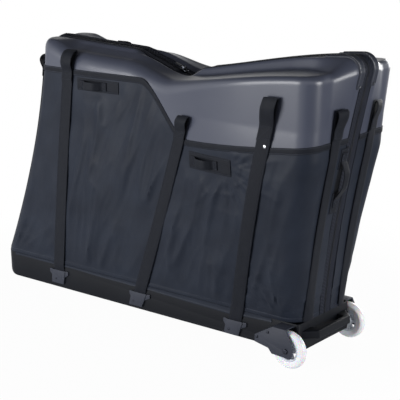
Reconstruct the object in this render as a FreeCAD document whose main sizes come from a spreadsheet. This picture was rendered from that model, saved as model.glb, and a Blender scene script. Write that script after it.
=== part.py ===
import FreeCAD, Part
import math
import os
import Sketcher

from FreeCAD import Placement, Rotation, Vector

# Bike travel case: a moulded base tub on two wheels and two nose skids, and two
# half bags that fold down sideways from the tub's upper edges. Each half has a
# hard upper shell sewn to a fabric wall. A zip joins the halves over the top.
# The case frame has X from nose to tail, Y from the near to the far side and Z up
# from the wheels' lowest point. The near half lies at negative Y.

doc = FreeCAD.newDocument("bike_travel_case")

# Driving dimensions in millimetres; eases are plain exponents, angles in degrees.
dims = doc.addObject("Spreadsheet::Sheet", "dims")
driving = (
    ("base_length", 1190.0, "tub, nose to tail"),
    ("base_width", 246.0, "tub across its side walls"),
    ("tub_clearance", 40.0, "tub underside above the wheels' lowest point"),
    ("tub_height", 80.0, "tub underside to its upper edge"),
    ("tub_wall", 4.0, "tub wall and floor"),
    ("tub_corner", 50.0, "tub corner radius at the nose, in plan"),
    ("tub_tail_corner", 8.0, "tub corner radius at the tail, in plan"),
    ("nose_radius", 60.0, "tub's lower nose radius in side view"),
    ("bag_height", 702.0, "tub edge to the front crest"),
    ("bag_wall", 3.5, "shell and fabric wall"),
    ("front_width", 258.0, "widest part of the front"),
    ("tail_width", 380.0, "widest part of the tail"),
    ("tail_flare", 12.0, "each side's flare above the knee of the tail"),
    ("nose_taper", 18.0, "each side's draw-in at the nose"),
    ("nose_lean", 207.0, "nose set back at the crest"),
    ("tail_lean", 138.0, "tail overhang at the crest"),
    ("front_corner", 52.0, "nose corner radius in plan"),
    ("tail_corner", 54.0, "tail corner radius in plan"),
    ("front_shoulder", 44.0, "rounding of the front's upper edge"),
    ("tail_shoulder", 16.0, "rounding of the tail's upper edge"),
    ("nose_edge", 14.0, "rounding of the nose's upper edge"),
    ("tail_edge", 20.0, "rounding of the tail end's upper edge"),
    ("ridge_edge", 42.0, "rounding of the zip ridge's tail corner"),
    ("crest_fall", 19.0, "fall of the front crest down to the saddle"),
    ("saddle_drop", 70.0, "front crest down to the saddle's lowest point"),
    ("tail_drop", 8.0, "front crest down to the tail ledge's end"),
    ("rim_width", 76.0, "zip rim across both halves"),
    ("rim_crown", 6.0, "zip above the front crest"),
    ("rim_valley", 10.0, "zip below the crest in the saddle"),
    ("roof_fall", 14.0, "fall of the front's top from the zip to its shoulder"),
    ("block_rise", 7.0, "rise of the square nose block above the front crest"),
    ("facet_run", 76.0, "slanted faces beside the zip ridge at the tail"),
    ("guard_shelf", 18.0, "level shelf beside the zip under each corner guard"),
    ("ridge_step", 17.0, "zip ridge above the ledge where it starts"),
    ("ridge_rise", 33.0, "zip ridge above the ledge at the tail"),
    ("binding_front", 82.0, "front crest down to the shell's lower edge at the front"),
    ("binding_low", 234.0, "front crest down to the shell's lower edge at its lowest"),
    ("binding_tail", 194.0, "front crest down to the shell's lower edge at the tail"),
    ("binding_width", 18.0, "sewn tape over the shell's lower edge"),
    ("binding_thickness", 2.0, "sewn tape"),
    ("strap_width", 45.0, "lashing straps"),
    ("strap_thickness", 2.6, "lashing straps"),
    ("zip_gap", 0.8, "between the two zip tapes"),
    ("zip_tape_width", 27.0, "each zip band"),
    ("zip_thickness", 3.0, "padded zip band"),
    ("fit_gap", 0.3, "between pieces that lie on each other"),
    ("wheel_diameter", 108.0, "running wheels"),
    ("wheel_width", 24.0, "running wheels"),
    ("wheel_offset", 22.0, "tub side out to the wheel's mid plane"),
    ("axle_setback", 15.0, "axle in front of the tub's tail"),
    ("axle_diameter", 8.0, "axle bolts"),
    ("running_gap", 0.05, "axle to bearing, on the radius"),
    ("bearing_diameter", 22.0, "ball bearings"),
    ("bearing_width", 7.0, "ball bearings"),
    ("core_diameter", 66.0, "wheel core inside its tyre"),
    ("bracket_plate", 5.0, "wheel bracket's outer plate"),
    ("skid_height", 9.0, "nose skids below the tub"),
    ("skid_setback", 84.0, "nose to the middle of the skids"),
    ("grip_gap", 22.0, "finger room inside the tail grab bar"),
    ("grip_bar", 14.0, "tail grab bar's depth"),
    ("grip_height", 24.0, "tail grab bar's height"),
    ("grip_length", 150.0, "tail grab bar across"),
    ("nose_grip_gap", 10.0, "finger room inside the nose grip"),
    ("nose_grip_bar", 8.0, "nose grip's depth"),
    ("nose_grip_height", 12.0, "nose grip's height"),
    ("rail_length", 860.0, "bike rail"),
    ("rail_width", 40.0, "bike rail across"),
    ("rail_height", 20.0, "bike rail upright"),
    ("rail_wall", 2.0, "bike rail wall"),
    ("fork_spacing", 100.0, "fork stand across its faces"),
    ("hub_spacing", 142.0, "dropout stand across its faces"),
    ("thru_axle", 12.1, "bores for the bike's axles"),
    ("foam_thickness", 30.0, "tub pad"),
    ("panel_foam", 8.0, "pad on each fabric wall"),
    ("pocket_depth", 18.0, "wheel pocket"),
    ("pocket_diameter", 540.0, "wheel pocket"),
)
for row, (alias, size, note) in enumerate(driving, start=1):
    dims.set("A%d" % row, note)
    dims.set("B%d" % row, str(size))
    dims.setAlias("B%d" % row, alias)
doc.recompute()


def dim(alias):
    return float(dims.get(alias))


base_length = dim("base_length")
base_half = dim("base_width") / 2
tub_bottom = dim("tub_clearance")
tub_top = tub_bottom + dim("tub_height")
tub_wall = dim("tub_wall")
crest_z = tub_top + dim("bag_height")
wall = dim("bag_wall")
rim_half = dim("rim_width") / 2
gap = dim("fit_gap")
zip_edge = dim("zip_gap") / 2
tape_edge = zip_edge + dim("zip_tape_width")
wheel_radius = dim("wheel_diameter") / 2
axle_x = base_length - dim("axle_setback")
wheel_y = base_half + dim("wheel_offset")
strap_half = dim("strap_width") / 2
binding_inner = -2.5 * gap
binding_outer = binding_inner - dim("binding_thickness")
strap_inner = binding_outer - 3 * gap
strap_outer = strap_inner - dim("strap_thickness")

# Places along the case, measured from the nose as shares of the tub's length.
taper_end = 0.36 * base_length
saddle_start = 0.47 * base_length
saddle_low = 0.635 * base_length
bulge_start = 0.50 * base_length
bulge_end = 0.91 * base_length
valley_start = 0.45 * base_length
valley_ramp = 0.055 * base_length
ridge_start = 0.612 * base_length
ridge_ramp = 0.065 * base_length
facet_start = 0.985 * base_length
shelf_start = 0.93 * base_length
shelf_ramp = 0.09 * base_length
block_end = dim("nose_lean") + 48
block_ramp = 90.0
taper_ease = 1.25
nose_ease = 1.6
tail_ease = 1.35
widest_share = 0.78
knee_share = 0.66
shell_tail_slope = 0.105


def eased(value):
    value = min(max(value, 0.0), 1.0)
    return value * value * (3 - 2 * value)


def height_share(z):
    return min(max((z - tub_top) / dim("bag_height"), 0.0), 1.0)


def nose_x(z):
    return dim("nose_lean") * (1 - (1 - height_share(z)) ** nose_ease)


def ridge_tail_x(z):
    return base_length + dim("tail_lean") * height_share(z) ** tail_ease


def shell_tail_x(z):
    knee_z = tub_top + knee_share * dim("bag_height")
    if z <= knee_z:
        return ridge_tail_x(z)
    return ridge_tail_x(knee_z) + shell_tail_slope * (z - knee_z)


tail_x = ridge_tail_x(crest_z)


def ledge_z(x):
    # The shell's upper outline: falling front crest, saddle, rising tail ledge.
    front_end = crest_z - dim("crest_fall")
    low = crest_z - dim("saddle_drop")
    if x <= saddle_start:
        share = max(x - dim("nose_lean"), 0.0) / (saddle_start - dim("nose_lean"))
        return crest_z - dim("crest_fall") * share
    if x <= saddle_low:
        return front_end + (low - front_end) * eased((x - saddle_start) / (saddle_low - saddle_start))
    share = (x - saddle_low) / (tail_x - saddle_low)
    climb = dim("saddle_drop") - dim("tail_drop")
    return low + climb * math.sin(math.pi / 2 * min(share, 1.0)) ** 1.3


def zip_z(x):
    # The zip crowns the front, dips between the shells in the saddle and rides a ridge at the tail.
    dip = (dim("rim_crown") + dim("rim_valley")) * eased((x - valley_start) / valley_ramp)
    climb = (dim("rim_valley") + dim("ridge_step")) * eased((x - ridge_start) / ridge_ramp)
    rise = (dim("ridge_rise") - dim("ridge_step")) * max(x - ridge_start, 0.0) / (tail_x - ridge_start)
    return ledge_z(x) + dim("rim_crown") - dip + climb + rise


def half_width(x, z):
    # Half the bag's width: slim at the front, bulging towards the tail.
    share = height_share(z)
    front = base_half + (dim("front_width") / 2 - base_half) * math.sin(math.pi * share)
    flare = math.sin(math.pi / 2 * min(share / widest_share, 1.0))
    tail = base_half + (dim("tail_width") / 2 - base_half) * flare
    if share > widest_share:
        tail += dim("tail_flare") * (share - widest_share) / (1 - widest_share)
    drawn = min(max((taper_end - x) / (taper_end - dim("nose_lean")), 0.0), 1.0)
    taper = dim("nose_taper") * share * drawn ** taper_ease
    return front - taper + (tail - front) * eased((x - bulge_start) / (bulge_end - bulge_start))


# The rim steps up or down from the ledge and out from the tail end over this run.
rim_step = 20.0
end_flat = 6.0


def rim_share(x, y, inset):
    # 1 on the zip rim, 0 on the ledge and end wall; the step turns into a slanted face at the tail.
    slant = eased((x - facet_start) / (tail_x - facet_start))
    run = rim_step + (dim("facet_run") - rim_step) * slant
    shelf = dim("guard_shelf") * eased((x - shelf_start) / shelf_ramp)
    lift = min(max((zip_z(x) - ledge_z(x)) / rim_step, -1.0), 1.0)
    out = (abs(y) - rim_half + rim_step / 2 - shelf + inset * lift) / run
    straight = min(max(out, 0.0), 1.0)
    return 1 - eased(out) - (straight - eased(out)) * slant


roof_run = 60.0


def top_z(x, y, inset):
    # The upper surface: a level nose block, then a roof that slopes off on either side of the zip.
    block = 1 - eased((x - block_end) / block_ramp)
    front = 1 - eased((x - saddle_start) / (saddle_low - saddle_start))
    fall = dim("roof_fall") * front * (1 - block) * eased((abs(y) - rim_half + rim_step / 2) / roof_run)
    rim = rim_share(x, y, inset)
    rise = dim("block_rise") * block * (1 - rim)
    return ledge_z(x) + rise - fall + (zip_z(x) - ledge_z(x)) * rim - inset


def rear_x(y, z, inset):
    flush = shell_tail_x(z)
    return flush + (ridge_tail_x(z) - flush) * rim_share(tail_x, y, inset) - inset


def tail_round(z):
    # Tail corner radius and where the side wall meets it, at a height.
    limit = half_width(shell_tail_x(z) - dim("tail_corner"), z) - rim_half - rim_step / 2 - end_flat
    radius = min(dim("tail_corner"), limit)
    return radius, shell_tail_x(z) - radius


def nose_round(z):
    # Nose corner radius and where the side wall meets it, at a height.
    limit = half_width(nose_x(z) + dim("front_corner"), z) - rim_half - rim_step / 2 - end_flat
    radius = min(dim("front_corner"), limit)
    return radius, nose_x(z) + radius


# Stations run round the near half in plan, from the tail's zip edge to the nose's.
stations = [("tail_end", level) for level in range(6)]
stations += [("tail_corner", share / 6) for share in range(7)]
stations += [("side", share / 18) for share in range(1, 18)]
stations += [("nose_corner", share / 6) for share in range(7)]
stations += [("nose_end", share / 3) for share in range(1, 4)]
shell_edge_y = tape_edge + gap
shelf_edge_y = rim_half - rim_step / 2 + dim("guard_shelf")


def plan_point(station, z, inset):
    # One point of the near half's plan outline at a height, drawn in by the inset.
    kind, share = station
    rear_radius, rear_join = tail_round(z)
    front_radius, front_join = nose_round(z)
    rear_flat = half_width(rear_join, z) - rear_radius
    front_flat = half_width(front_join, z) - front_radius
    turn = share * math.pi / 2
    if kind == "tail_end":
        facet_end = min(shelf_edge_y + dim("facet_run"), rear_flat - end_flat)
        y = shelf_edge_y + (facet_end - shelf_edge_y) * (share - 1) / 3
        if share == 0:
            y = shell_edge_y
        elif share == 5:
            y = (facet_end + rear_flat) / 2
        return Vector(rear_x(y, z, inset), -y, z)
    if kind == "tail_corner":
        radius = rear_radius - inset
        return Vector(rear_join + radius * math.cos(turn), -rear_flat - radius * math.sin(turn), z)
    if kind == "side":
        x = rear_join + share * (front_join - rear_join)
        return Vector(x, -(half_width(x, z) - inset), z)
    if kind == "nose_corner":
        radius = front_radius - inset
        return Vector(front_join - radius * math.sin(turn), -front_flat - radius * math.cos(turn), z)
    return Vector(nose_x(z) + inset, -(front_flat + share * (shell_edge_y - front_flat)), z)


def side_radius(x):
    bulge = eased((x - bulge_start) / (bulge_end - bulge_start))
    return dim("front_shoulder") + (dim("tail_shoulder") - dim("front_shoulder")) * bulge


def shoulder_radius(station, x, inset):
    kind, share = station
    side = side_radius(x)
    if kind == "tail_end":
        rim = min(max((4 - share) / 3, 0.0), 1.0)
        side = dim("tail_edge") + (dim("ridge_edge") - dim("tail_edge")) * rim
    elif kind == "tail_corner":
        side = dim("tail_edge") + (side - dim("tail_edge")) * eased(share)
    elif kind == "nose_corner":
        side += (dim("nose_edge") - side) * eased(share)
    elif kind == "nose_end":
        side = dim("nose_edge")
    return side - inset


ledge_reach = 40.0
ledge_fan = 30.0


def rim_target(station, z):
    # Where along the zip a station's line over the ledge ends.
    kind, share = station
    rear = tail_round(z)[1] - ledge_reach
    front = nose_round(z)[1] + ledge_reach
    if kind == "tail_end":
        return rear - ledge_fan * share / 12
    if kind == "tail_corner":
        return rear - ledge_fan * (1 + share) / 2
    if kind == "side":
        return rear - ledge_fan + share * (front - rear + 2 * ledge_fan)
    if kind == "nose_corner":
        return front + ledge_fan * (1 - share / 2)
    return front + ledge_fan * (1 - share) / 2


# The shell's lower edge in side view: level, an S-curve, then a slow rise.
curve_start = 0.535 * base_length
curve_end = 0.705 * base_length


def binding_z(x):
    front = crest_z - dim("binding_front")
    low = crest_z - dim("binding_low")
    if x <= curve_end:
        return front + (low - front) * eased((x - curve_start) / (curve_end - curve_start))
    share = (x - curve_end) / (tail_x - curve_end)
    return low + (dim("binding_low") - dim("binding_tail")) * share ** 1.3


def station_binding(station, inset):
    z = crest_z - dim("binding_low")
    for _ in range(6):
        z = binding_z(plan_point(station, z, inset).x)
    return z


seam_z = tub_top + gap
panel_row_count = 14


def panel_grid(inset):
    # The fabric wall, from the tub's edge up to the shell.
    columns = []
    for station in stations:
        upper = station_binding(station, inset) - 2 * gap
        heights = [seam_z + (upper - seam_z) * step / panel_row_count for step in range(panel_row_count + 1)]
        columns.append([plan_point(station, z, inset) for z in heights])
    return columns


def binding_grid(inset):
    # The tape sewn over the joint of shell and fabric.
    half_band = dim("binding_width") / 2
    columns = []
    for station in stations:
        middle = station_binding(station, inset)
        columns.append([plan_point(station, middle + rise, inset) for rise in (-half_band, 0, half_band)])
    return columns


def spaced(points, count):
    # The same line with its points moved to equal distances along it.
    sums = [0.0]
    for first, second in zip(points, points[1:]):
        sums.append(sums[-1] + (second - first).Length)
    line = []
    index = 0
    for step in range(count + 1):
        goal = sums[-1] * step / count
        while index < len(points) - 2 and sums[index + 1] < goal:
            index += 1
        share = (goal - sums[index]) / (sums[index + 1] - sums[index])
        line.append(points[index] + (points[index + 1] - points[index]) * share)
    return line


shell_row_count = 26
fine_row_count = 24


def shell_grid(inset):
    # The hard shell, from its lower edge over the shoulder and ledge to the zip.
    columns = []
    for station in stations:
        upper = crest_z - dim("front_shoulder")
        for _ in range(4):
            edge = plan_point(station, upper, inset)
            radius = shoulder_radius(station, edge.x, inset)
            upper = top_z(edge.x, edge.y, inset) - radius
        edge = plan_point(station, upper, inset)
        lower = station_binding(station, inset) + gap
        line = []
        for step in range(fine_row_count):
            line.append(plan_point(station, lower + (upper - lower) * step / fine_row_count, inset))
        reach = Vector(rim_target(station, upper) - edge.x, -shell_edge_y - edge.y, 0)
        inward = Vector(reach).normalize()
        for step in range(fine_row_count):
            turn = math.pi / 2 * step / fine_row_count
            spot = edge + inward * (radius * (1 - math.cos(turn)))
            line.append(Vector(spot.x, spot.y, top_z(spot.x, spot.y, inset) - radius * (1 - math.sin(turn))))
        start = edge + inward * radius
        for step in range(fine_row_count + 1):
            spot = start + (reach - inward * radius) * (step / fine_row_count)
            line.append(Vector(spot.x, spot.y, top_z(spot.x, spot.y, inset)))
        columns.append(spaced(line, shell_row_count))
    return columns


def side_point(x, z, inset):
    # A point of the near side wall, also where it rounds over at the shoulder.
    radius = side_radius(x) - inset
    level = top_z(x, half_width(x, crest_z), inset) - radius
    into = min(max((z - level) / radius, 0.0), 1.0)
    drawn_in = radius * (1 - math.sqrt(1 - into * into))
    return Vector(x, -(half_width(x, min(z, level)) - inset - drawn_in), z)


def tail_point(y, z, inset):
    # A point of the near half's tail end, also round its corner.
    radius, join = tail_round(z)
    flat = half_width(join, z) - radius
    if y <= flat:
        return Vector(rear_x(y, z, inset), -y, z)
    across = min((y - flat) / (radius - inset), 1.0)
    return Vector(join + (radius - inset) * math.sqrt(1 - across * across), -y, z)


def nose_point(y, z, inset):
    # A point of the near half's nose end, also round its corner.
    radius, join = nose_round(z)
    flat = half_width(join, z) - radius
    across = min(max((y - flat) / (radius - inset), 0.0), 1.0)
    return Vector(join - (radius - inset) * math.sqrt(1 - across * across), -y, z)


def spread(first, last, count):
    return [first + (last - first) * step / count for step in range(count + 1)]


outline_count = 150
arc_step_count = 12


def rim_side(station, inset):
    # The zip's line up one end of the case and over its rounded upper edge.
    upper = crest_z - dim("tail_edge")
    radius = shoulder_radius(station, 0, inset)
    for _ in range(4):
        edge = plan_point(station, upper, inset)
        upper = top_z(edge.x, edge.y, inset) - radius
    edge = plan_point(station, upper, inset)
    line = [plan_point(station, z, inset) for z in spread(seam_z, upper, fine_row_count)[:-1]]
    inward = 1 if station[0] == "nose_end" else -1
    for step in range(arc_step_count + 1):
        turn = math.pi / 2 * step / arc_step_count
        x = edge.x + inward * radius * (1 - math.cos(turn))
        line.append(Vector(x, edge.y, top_z(x, edge.y, inset) - radius * (1 - math.sin(turn))))
    return line


def rim_outline(inset):
    # The zip's whole line in side view, from the nose's foot over the top to the tail's.
    line = rim_side(("nose_end", 1.0), inset)
    rear = rim_side(("tail_end", 0), inset)
    first = line[-1].x
    run = rear[-1].x - first
    steps = 5 * fine_row_count
    for step in range(1, steps):
        x = first + run * step / steps
        line.append(Vector(x, 0, top_z(x, 0, inset)))
    return spaced(line + rear[::-1], outline_count)


def rim_band(inset, levels, first, last):
    line = rim_outline(inset)[first:last + 1]
    return [[Vector(spot.x, -y, spot.z) for spot in line] for y in levels]


def strip(point, centre, half, heights, inset):
    # A band of webbing up a wall: its middle line leans with the height.
    return [[point(centre(z) + side, z, inset) for z in heights] for side in (-half, 0, half)]


def leaning(foot, top, top_level):
    return lambda z: foot + (top - foot) * (z - seam_z) / (top_level - seam_z)


def loop_lift(share, rise):
    # How far a handle stands off along its length.
    return rise * min(eased(share / 0.3), eased((1 - share) / 0.3))


def chord_parameters(lines):
    # Mean chord lengths along a family of point rows, as running sums from 0 to 1.
    sums = [0.0]
    for index in range(1, len(lines[0])):
        step = sum((line[index] - line[index - 1]).Length for line in lines) / len(lines)
        sums.append(sums[-1] + step)
    return [value / sums[-1] for value in sums]


def curve_through(points, parameters):
    curve = Part.BSplineCurve()
    curve.interpolate(Points=points, Parameters=parameters)
    return curve


def skin_through(columns):
    # A smooth face through a grid of points; level and plane borders stay exact.
    rows = [list(row) for row in zip(*columns)]
    along = chord_parameters(rows)
    up = chord_parameters(columns)
    row_curves = [curve_through(row, along) for row in rows]
    pole_rows = [curve.getPoles() for curve in row_curves]
    up_curves = [curve_through(list(points), up) for points in zip(*pole_rows)]
    surface = Part.BSplineSurface()
    surface.buildFromPolesMultsKnots(
        [curve.getPoles() for curve in up_curves],
        row_curves[0].getMultiplicities(), up_curves[0].getMultiplicities(),
        row_curves[0].getKnots(), up_curves[0].getKnots(),
        False, False, row_curves[0].Degree, up_curves[0].Degree)
    return surface.toShape()


def sheet_solid(grid, outer, inner):
    # A closed solid between two copies of a sheet, each drawn in by its own inset.
    front = skin_through(grid(outer))
    back = skin_through(grid(inner))
    faces = [front, back]
    for first, second in zip(front.Edges, back.Edges):
        faces.append(Part.makeRuledSurface(first, second))
    closed = Part.makeCompound(faces)
    closed.sewShape()
    solid = Part.Solid(closed.Shells[0])
    if solid.Volume < 0:
        solid.reverse()
    return solid


# Document objects by node name, with each one's place in the case frame.
nodes = []
mirrored = []


def keep(piece, label, both=False, local=Placement()):
    piece.Label = label
    nodes.append((piece, local))
    if both:
        mirrored.append((piece, label))
    return piece


def shaped(label, shape, both=False):
    piece = doc.addObject("Part::Feature", label)
    piece.Shape = shape
    return keep(piece, label, both)


def add(kind, name, **sizes):
    piece = doc.addObject(kind, name)
    for size, formula in sizes.items():
        piece.setExpression(size, formula)
    return piece


def at(piece, x, y, z):
    piece.setExpression("Placement.Base.x", x)
    piece.setExpression("Placement.Base.y", y)
    piece.setExpression("Placement.Base.z", z)
    return piece


across_y = Rotation(Vector(1, 0, 0), -90)


def rod(name, radius, length, x, y, z):
    # A cylinder lying across the case, from y towards the far side.
    piece = add("Part::Cylinder", name, Radius=radius, Height=length)
    piece.Placement.Rotation = across_y
    return at(piece, x, y, z)


def cut(name, base, tool):
    piece = doc.addObject("Part::Cut", name)
    piece.Base = base
    piece.Tool = tool
    return piece


def fuse(name, shapes):
    piece = doc.addObject("Part::MultiFuse", name)
    piece.Shapes = shapes
    return piece


def sketch_on(body, plane_role, name):
    sketch = body.newObject("Sketcher::SketchObject", name)
    plane = [item for item in body.Origin.OriginFeatures if item.Role == plane_role][0]
    sketch.AttachmentSupport = [(plane, "")]
    sketch.MapMode = "FlatFace"
    return sketch


def closed_line(sketch, corners):
    # Straight sides through the corners, joined end to end.
    count = len(corners)
    for index in range(count):
        first = Vector(*corners[index], 0)
        second = Vector(*corners[(index + 1) % count], 0)
        sketch.addGeometry(Part.LineSegment(first, second), False)
    for index in range(count):
        sketch.addConstraint(Sketcher.Constraint("Coincident", index, 2, (index + 1) % count, 1))


def mirror_of(shape):
    return shape.mirror(Vector(0, 0, 0), Vector(0, 1, 0))


# Bag halves: hard shell, fabric wall, sewn binding and zip tape.
shaped("near_shell", sheet_solid(shell_grid, 0, wall), True)
shaped("near_side_panel", sheet_solid(panel_grid, 0, wall), True)
shaped("near_shell_binding", sheet_solid(binding_grid, binding_outer, binding_inner), True)
zip_levels = (tape_edge, (tape_edge + zip_edge) / 2, zip_edge)
zip_proud = 0.5


def zip_length(inset, first, last, setback):
    # One length of the zip band; its first end stands back from the length before it.
    line = rim_outline(inset)[first:last + 1]
    step = line[1] - line[0]
    line[0] = line[0] + step * (setback / step.Length)
    return [[Vector(spot.x, -y, spot.z) for spot in line] for y in zip_levels]


# The band is laid in two lengths, which meet behind the tail handle.
tail_handle_z = crest_z - dim("binding_tail") - 112
zip_join = max(index for index, spot in enumerate(rim_outline(0)) if spot.z > tail_handle_z)
zip_inner = dim("zip_thickness") - zip_proud
shaped("near_zip_tape", Part.makeCompound([
    sheet_solid(lambda inset: zip_length(inset, 0, zip_join, 0), -zip_proud, zip_inner),
    sheet_solid(lambda inset: zip_length(inset, zip_join, outline_count, 2 * gap), -zip_proud, zip_inner)]), True)

# The zip ridge's tail corner wears a moulded guard on either side of the zip.
guard_start = 1.022 * base_length
guard_end = crest_z - 62
guard_thickness = 3.0
guard_levels = (shelf_edge_y - 26, shelf_edge_y - 13, shelf_edge_y - 0.5)
shelf_swell = 1.4
guard_inner = -(shelf_swell + gap)
guard_rows = [index for index, spot in enumerate(rim_outline(0)) if spot.x > guard_start and spot.z > guard_end]
shaped("near_corner_guard", sheet_solid(
    lambda inset: rim_band(inset, guard_levels, guard_rows[0], guard_rows[-1]),
    guard_inner - guard_thickness, guard_inner), True)

# Lashing straps up each side: foot and top along the case, and the top's height.
strap_row_count = 16
strap_foot = seam_z + 1.0
strap_places = (("near_strap_front", 0.222, 0.296, 26, 110, 22), ("near_strap_middle", 0.520, 0.702, 158, 226, 26),
                ("near_strap_rear", 0.825, 0.979, 68, 186, 33))
side_straps = [(label, foot * base_length, top * base_length, crest_z - drop, crest_z - fold_drop,
                tub_top - plate_drop)
               for label, foot, top, drop, fold_drop, plate_drop in strap_places]
fold_inner = strap_outer - 4 * gap
fold_outer = fold_inner - dim("strap_thickness")
folds = []
for label, foot, top, top_level, fold_level, plate_level in side_straps:
    middle = leaning(foot, top, top_level)
    rows = spread(strap_foot, top_level, strap_row_count)
    shaped(label, sheet_solid(lambda inset: strip(side_point, middle, strap_half, rows, inset),
                              strap_outer, strap_inner), True)
    rows = spread(fold_level, top_level, strap_row_count // 2)
    folds.append(sheet_solid(lambda inset: strip(side_point, middle, strap_half, rows, inset),
                             fold_outer, fold_inner))

# One strap up each end of the half; the nose's doubled end stands off a little.
end_straps = ((tail_point, 0.65 * base_half, 0.70 * base_half, crest_z - 106),
              (nose_point, 0.62 * base_half, 0.60 * base_half, crest_z - 46))
bands = []
for point, foot, top, top_level in end_straps:
    middle = leaning(foot, top, top_level)
    rows = spread(strap_foot, top_level, strap_row_count)
    bands.append(sheet_solid(lambda inset: strip(point, middle, strap_half, rows, inset),
                             strap_outer, strap_inner))
shaped("near_end_straps", Part.makeCompound(bands), True)
nose_fold_rise = 14.0
point, foot, top, top_level = end_straps[1]
middle = leaning(foot, top, top_level)
rows = spread(top_level - 64, top_level, strap_row_count)


def standing_off(y, z, inset):
    share = (top_level - z) / 64
    return nose_point(y, z, inset - loop_lift(min(max(share, 0.0), 1.0), nose_fold_rise))


folds.append(sheet_solid(lambda inset: strip(standing_off, middle, strap_half, rows, inset),
                         fold_outer, fold_inner))
shaped("near_strap_folds", Part.makeCompound(folds), True)

# Carry handles: webbing loops sewn on reinforcing patches.
patch_thickness = 2.0
handle_thickness = 3.0
handle_rise = 20.0
handle_half = 12.5
handle_step_count = 20
patch_outer = -(gap + patch_thickness)
handle_inner = patch_outer - gap


def side_patch(first, last, low, high):
    columns = spread(first, last, 8)
    rows = spread(low, high, 2)
    return sheet_solid(lambda inset: [[side_point(x, z, inset) for z in rows] for x in columns],
                       patch_outer, -gap)


def side_loop(first, last, level):
    def grid(inset):
        columns = []
        for step in range(handle_step_count + 1):
            lift = loop_lift(step / handle_step_count, handle_rise)
            x = first + (last - first) * step / handle_step_count
            levels = (level - handle_half, level, level + handle_half)
            columns.append([side_point(x, z, inset - lift) for z in levels])
        return columns
    return sheet_solid(grid, handle_inner - handle_thickness, handle_inner)


front_handle_x = 0.395 * base_length
front_handle_z = crest_z - dim("binding_front") - 32
middle_handle_x = 0.77 * base_length
middle_handle_z = crest_z - dim("binding_low") - 45
shaped("near_front_handle", side_loop(front_handle_x - 72, front_handle_x + 38, front_handle_z), True)
shaped("near_middle_handle", side_loop(middle_handle_x - 60, middle_handle_x + 46, middle_handle_z), True)
front_patch = side_patch(front_handle_x - 85, front_handle_x + 85, front_handle_z - 18, front_handle_z + 18)
middle_patch = side_patch(middle_handle_x - 69, middle_handle_x + 95, middle_handle_z - 24, middle_handle_z + 24)
shaped("near_handle_patches", Part.makeCompound([front_patch, middle_patch]), True)

# The tail handle stands beside the zip on the near half only.
tail_handle_y = 32.0
tail_patch_half = 18.0
tail_patch_inner = -(zip_proud + 3 * gap)
tail_patch_outer = tail_patch_inner - patch_thickness
tail_loop_inner = tail_patch_outer - gap


def tail_patch(low, high):
    rows = spread(low, high, 6)
    return sheet_solid(lambda inset: strip(tail_point, lambda z: tail_handle_y, tail_patch_half, rows, inset),
                       tail_patch_outer, tail_patch_inner)


def tail_loop(low, high):
    def grid(inset):
        columns = []
        for side in (-handle_half, 0, handle_half):
            column = []
            for step in range(handle_step_count + 1):
                lift = loop_lift(step / handle_step_count, handle_rise)
                z = low + (high - low) * step / handle_step_count
                column.append(tail_point(tail_handle_y + side, z, inset - lift))
            columns.append(column)
        return columns
    return sheet_solid(grid, tail_loop_inner - handle_thickness, tail_loop_inner)


shaped("tail_handle", tail_loop(tail_handle_z - 76, tail_handle_z + 76))
shaped("tail_handle_patches", Part.makeCompound([tail_patch(tail_handle_z - 94, tail_handle_z - 34),
                                                 tail_patch(tail_handle_z + 32, tail_handle_z + 88)]))

# Inside each half: a foam pad on the wall and a flat pocket for one bike wheel.
lining_gap = 1.0
pad_outer = wall + lining_gap
pad_inner = pad_outer + dim("panel_foam")
pocket_outer = pad_inner + lining_gap
pocket_inner = pocket_outer + dim("pocket_depth")


def lining(first, last, low, high, outer, inner):
    columns = spread(first, last, 14)
    rows = spread(low, high, 8)
    return sheet_solid(lambda inset: [[side_point(x, z, inset) for z in rows] for x in columns], outer, inner)


pad_low = tub_top + 20
pad_high = crest_z - dim("binding_low") - 28
shaped("near_foam_panel", lining(0.21 * base_length, 0.915 * base_length, pad_low, pad_high,
                                 pad_outer, pad_inner), True)
pocket_middle = 0.61 * base_length
pocket_half = dim("pocket_diameter") / 2
shaped("near_wheel_pocket", lining(pocket_middle - pocket_half, pocket_middle + pocket_half, pad_low + 10,
                                   pad_high - 10, pocket_outer, pocket_inner), True)


# Base tub: a rounded tray whose lower nose edge is rolled up.
def tub_form(name, inset):
    block = add("Part::Box", name + "_block", Length="dims.base_length - 2 * (%s)" % inset,
                Width="dims.base_width - 2 * (%s)" % inset, Height="dims.tub_height")
    at(block, inset, "-dims.base_width / 2 + (%s)" % inset, "dims.tub_clearance + (%s)" % inset)
    doc.recompute()
    drawn_in = block.Placement.Base.x
    rounded = doc.addObject("Part::Fillet", name + "_rounded")
    rounded.Base = block
    corners = []
    for number, edge in enumerate(block.Shape.Edges, start=1):
        if edge.BoundBox.ZLength > 1:
            at_nose = edge.BoundBox.XMax < base_length / 2
            radius = dim("tub_corner" if at_nose else "tub_tail_corner") - drawn_in
            corners.append((number, radius, radius))
    rounded.Edges = corners
    radius = "dims.nose_radius - (%s)" % inset
    waste = add("Part::Box", name + "_waste", Length=radius, Width="dims.base_width", Height=radius)
    at(waste, inset, "-dims.base_width / 2", "dims.tub_clearance + (%s)" % inset)
    roller = rod(name + "_roller", radius, "dims.base_width", "dims.nose_radius", "-dims.base_width / 2",
                 "dims.tub_clearance + dims.nose_radius")
    return cut(name + "_form", rounded, cut(name + "_nose", waste, roller))


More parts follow.
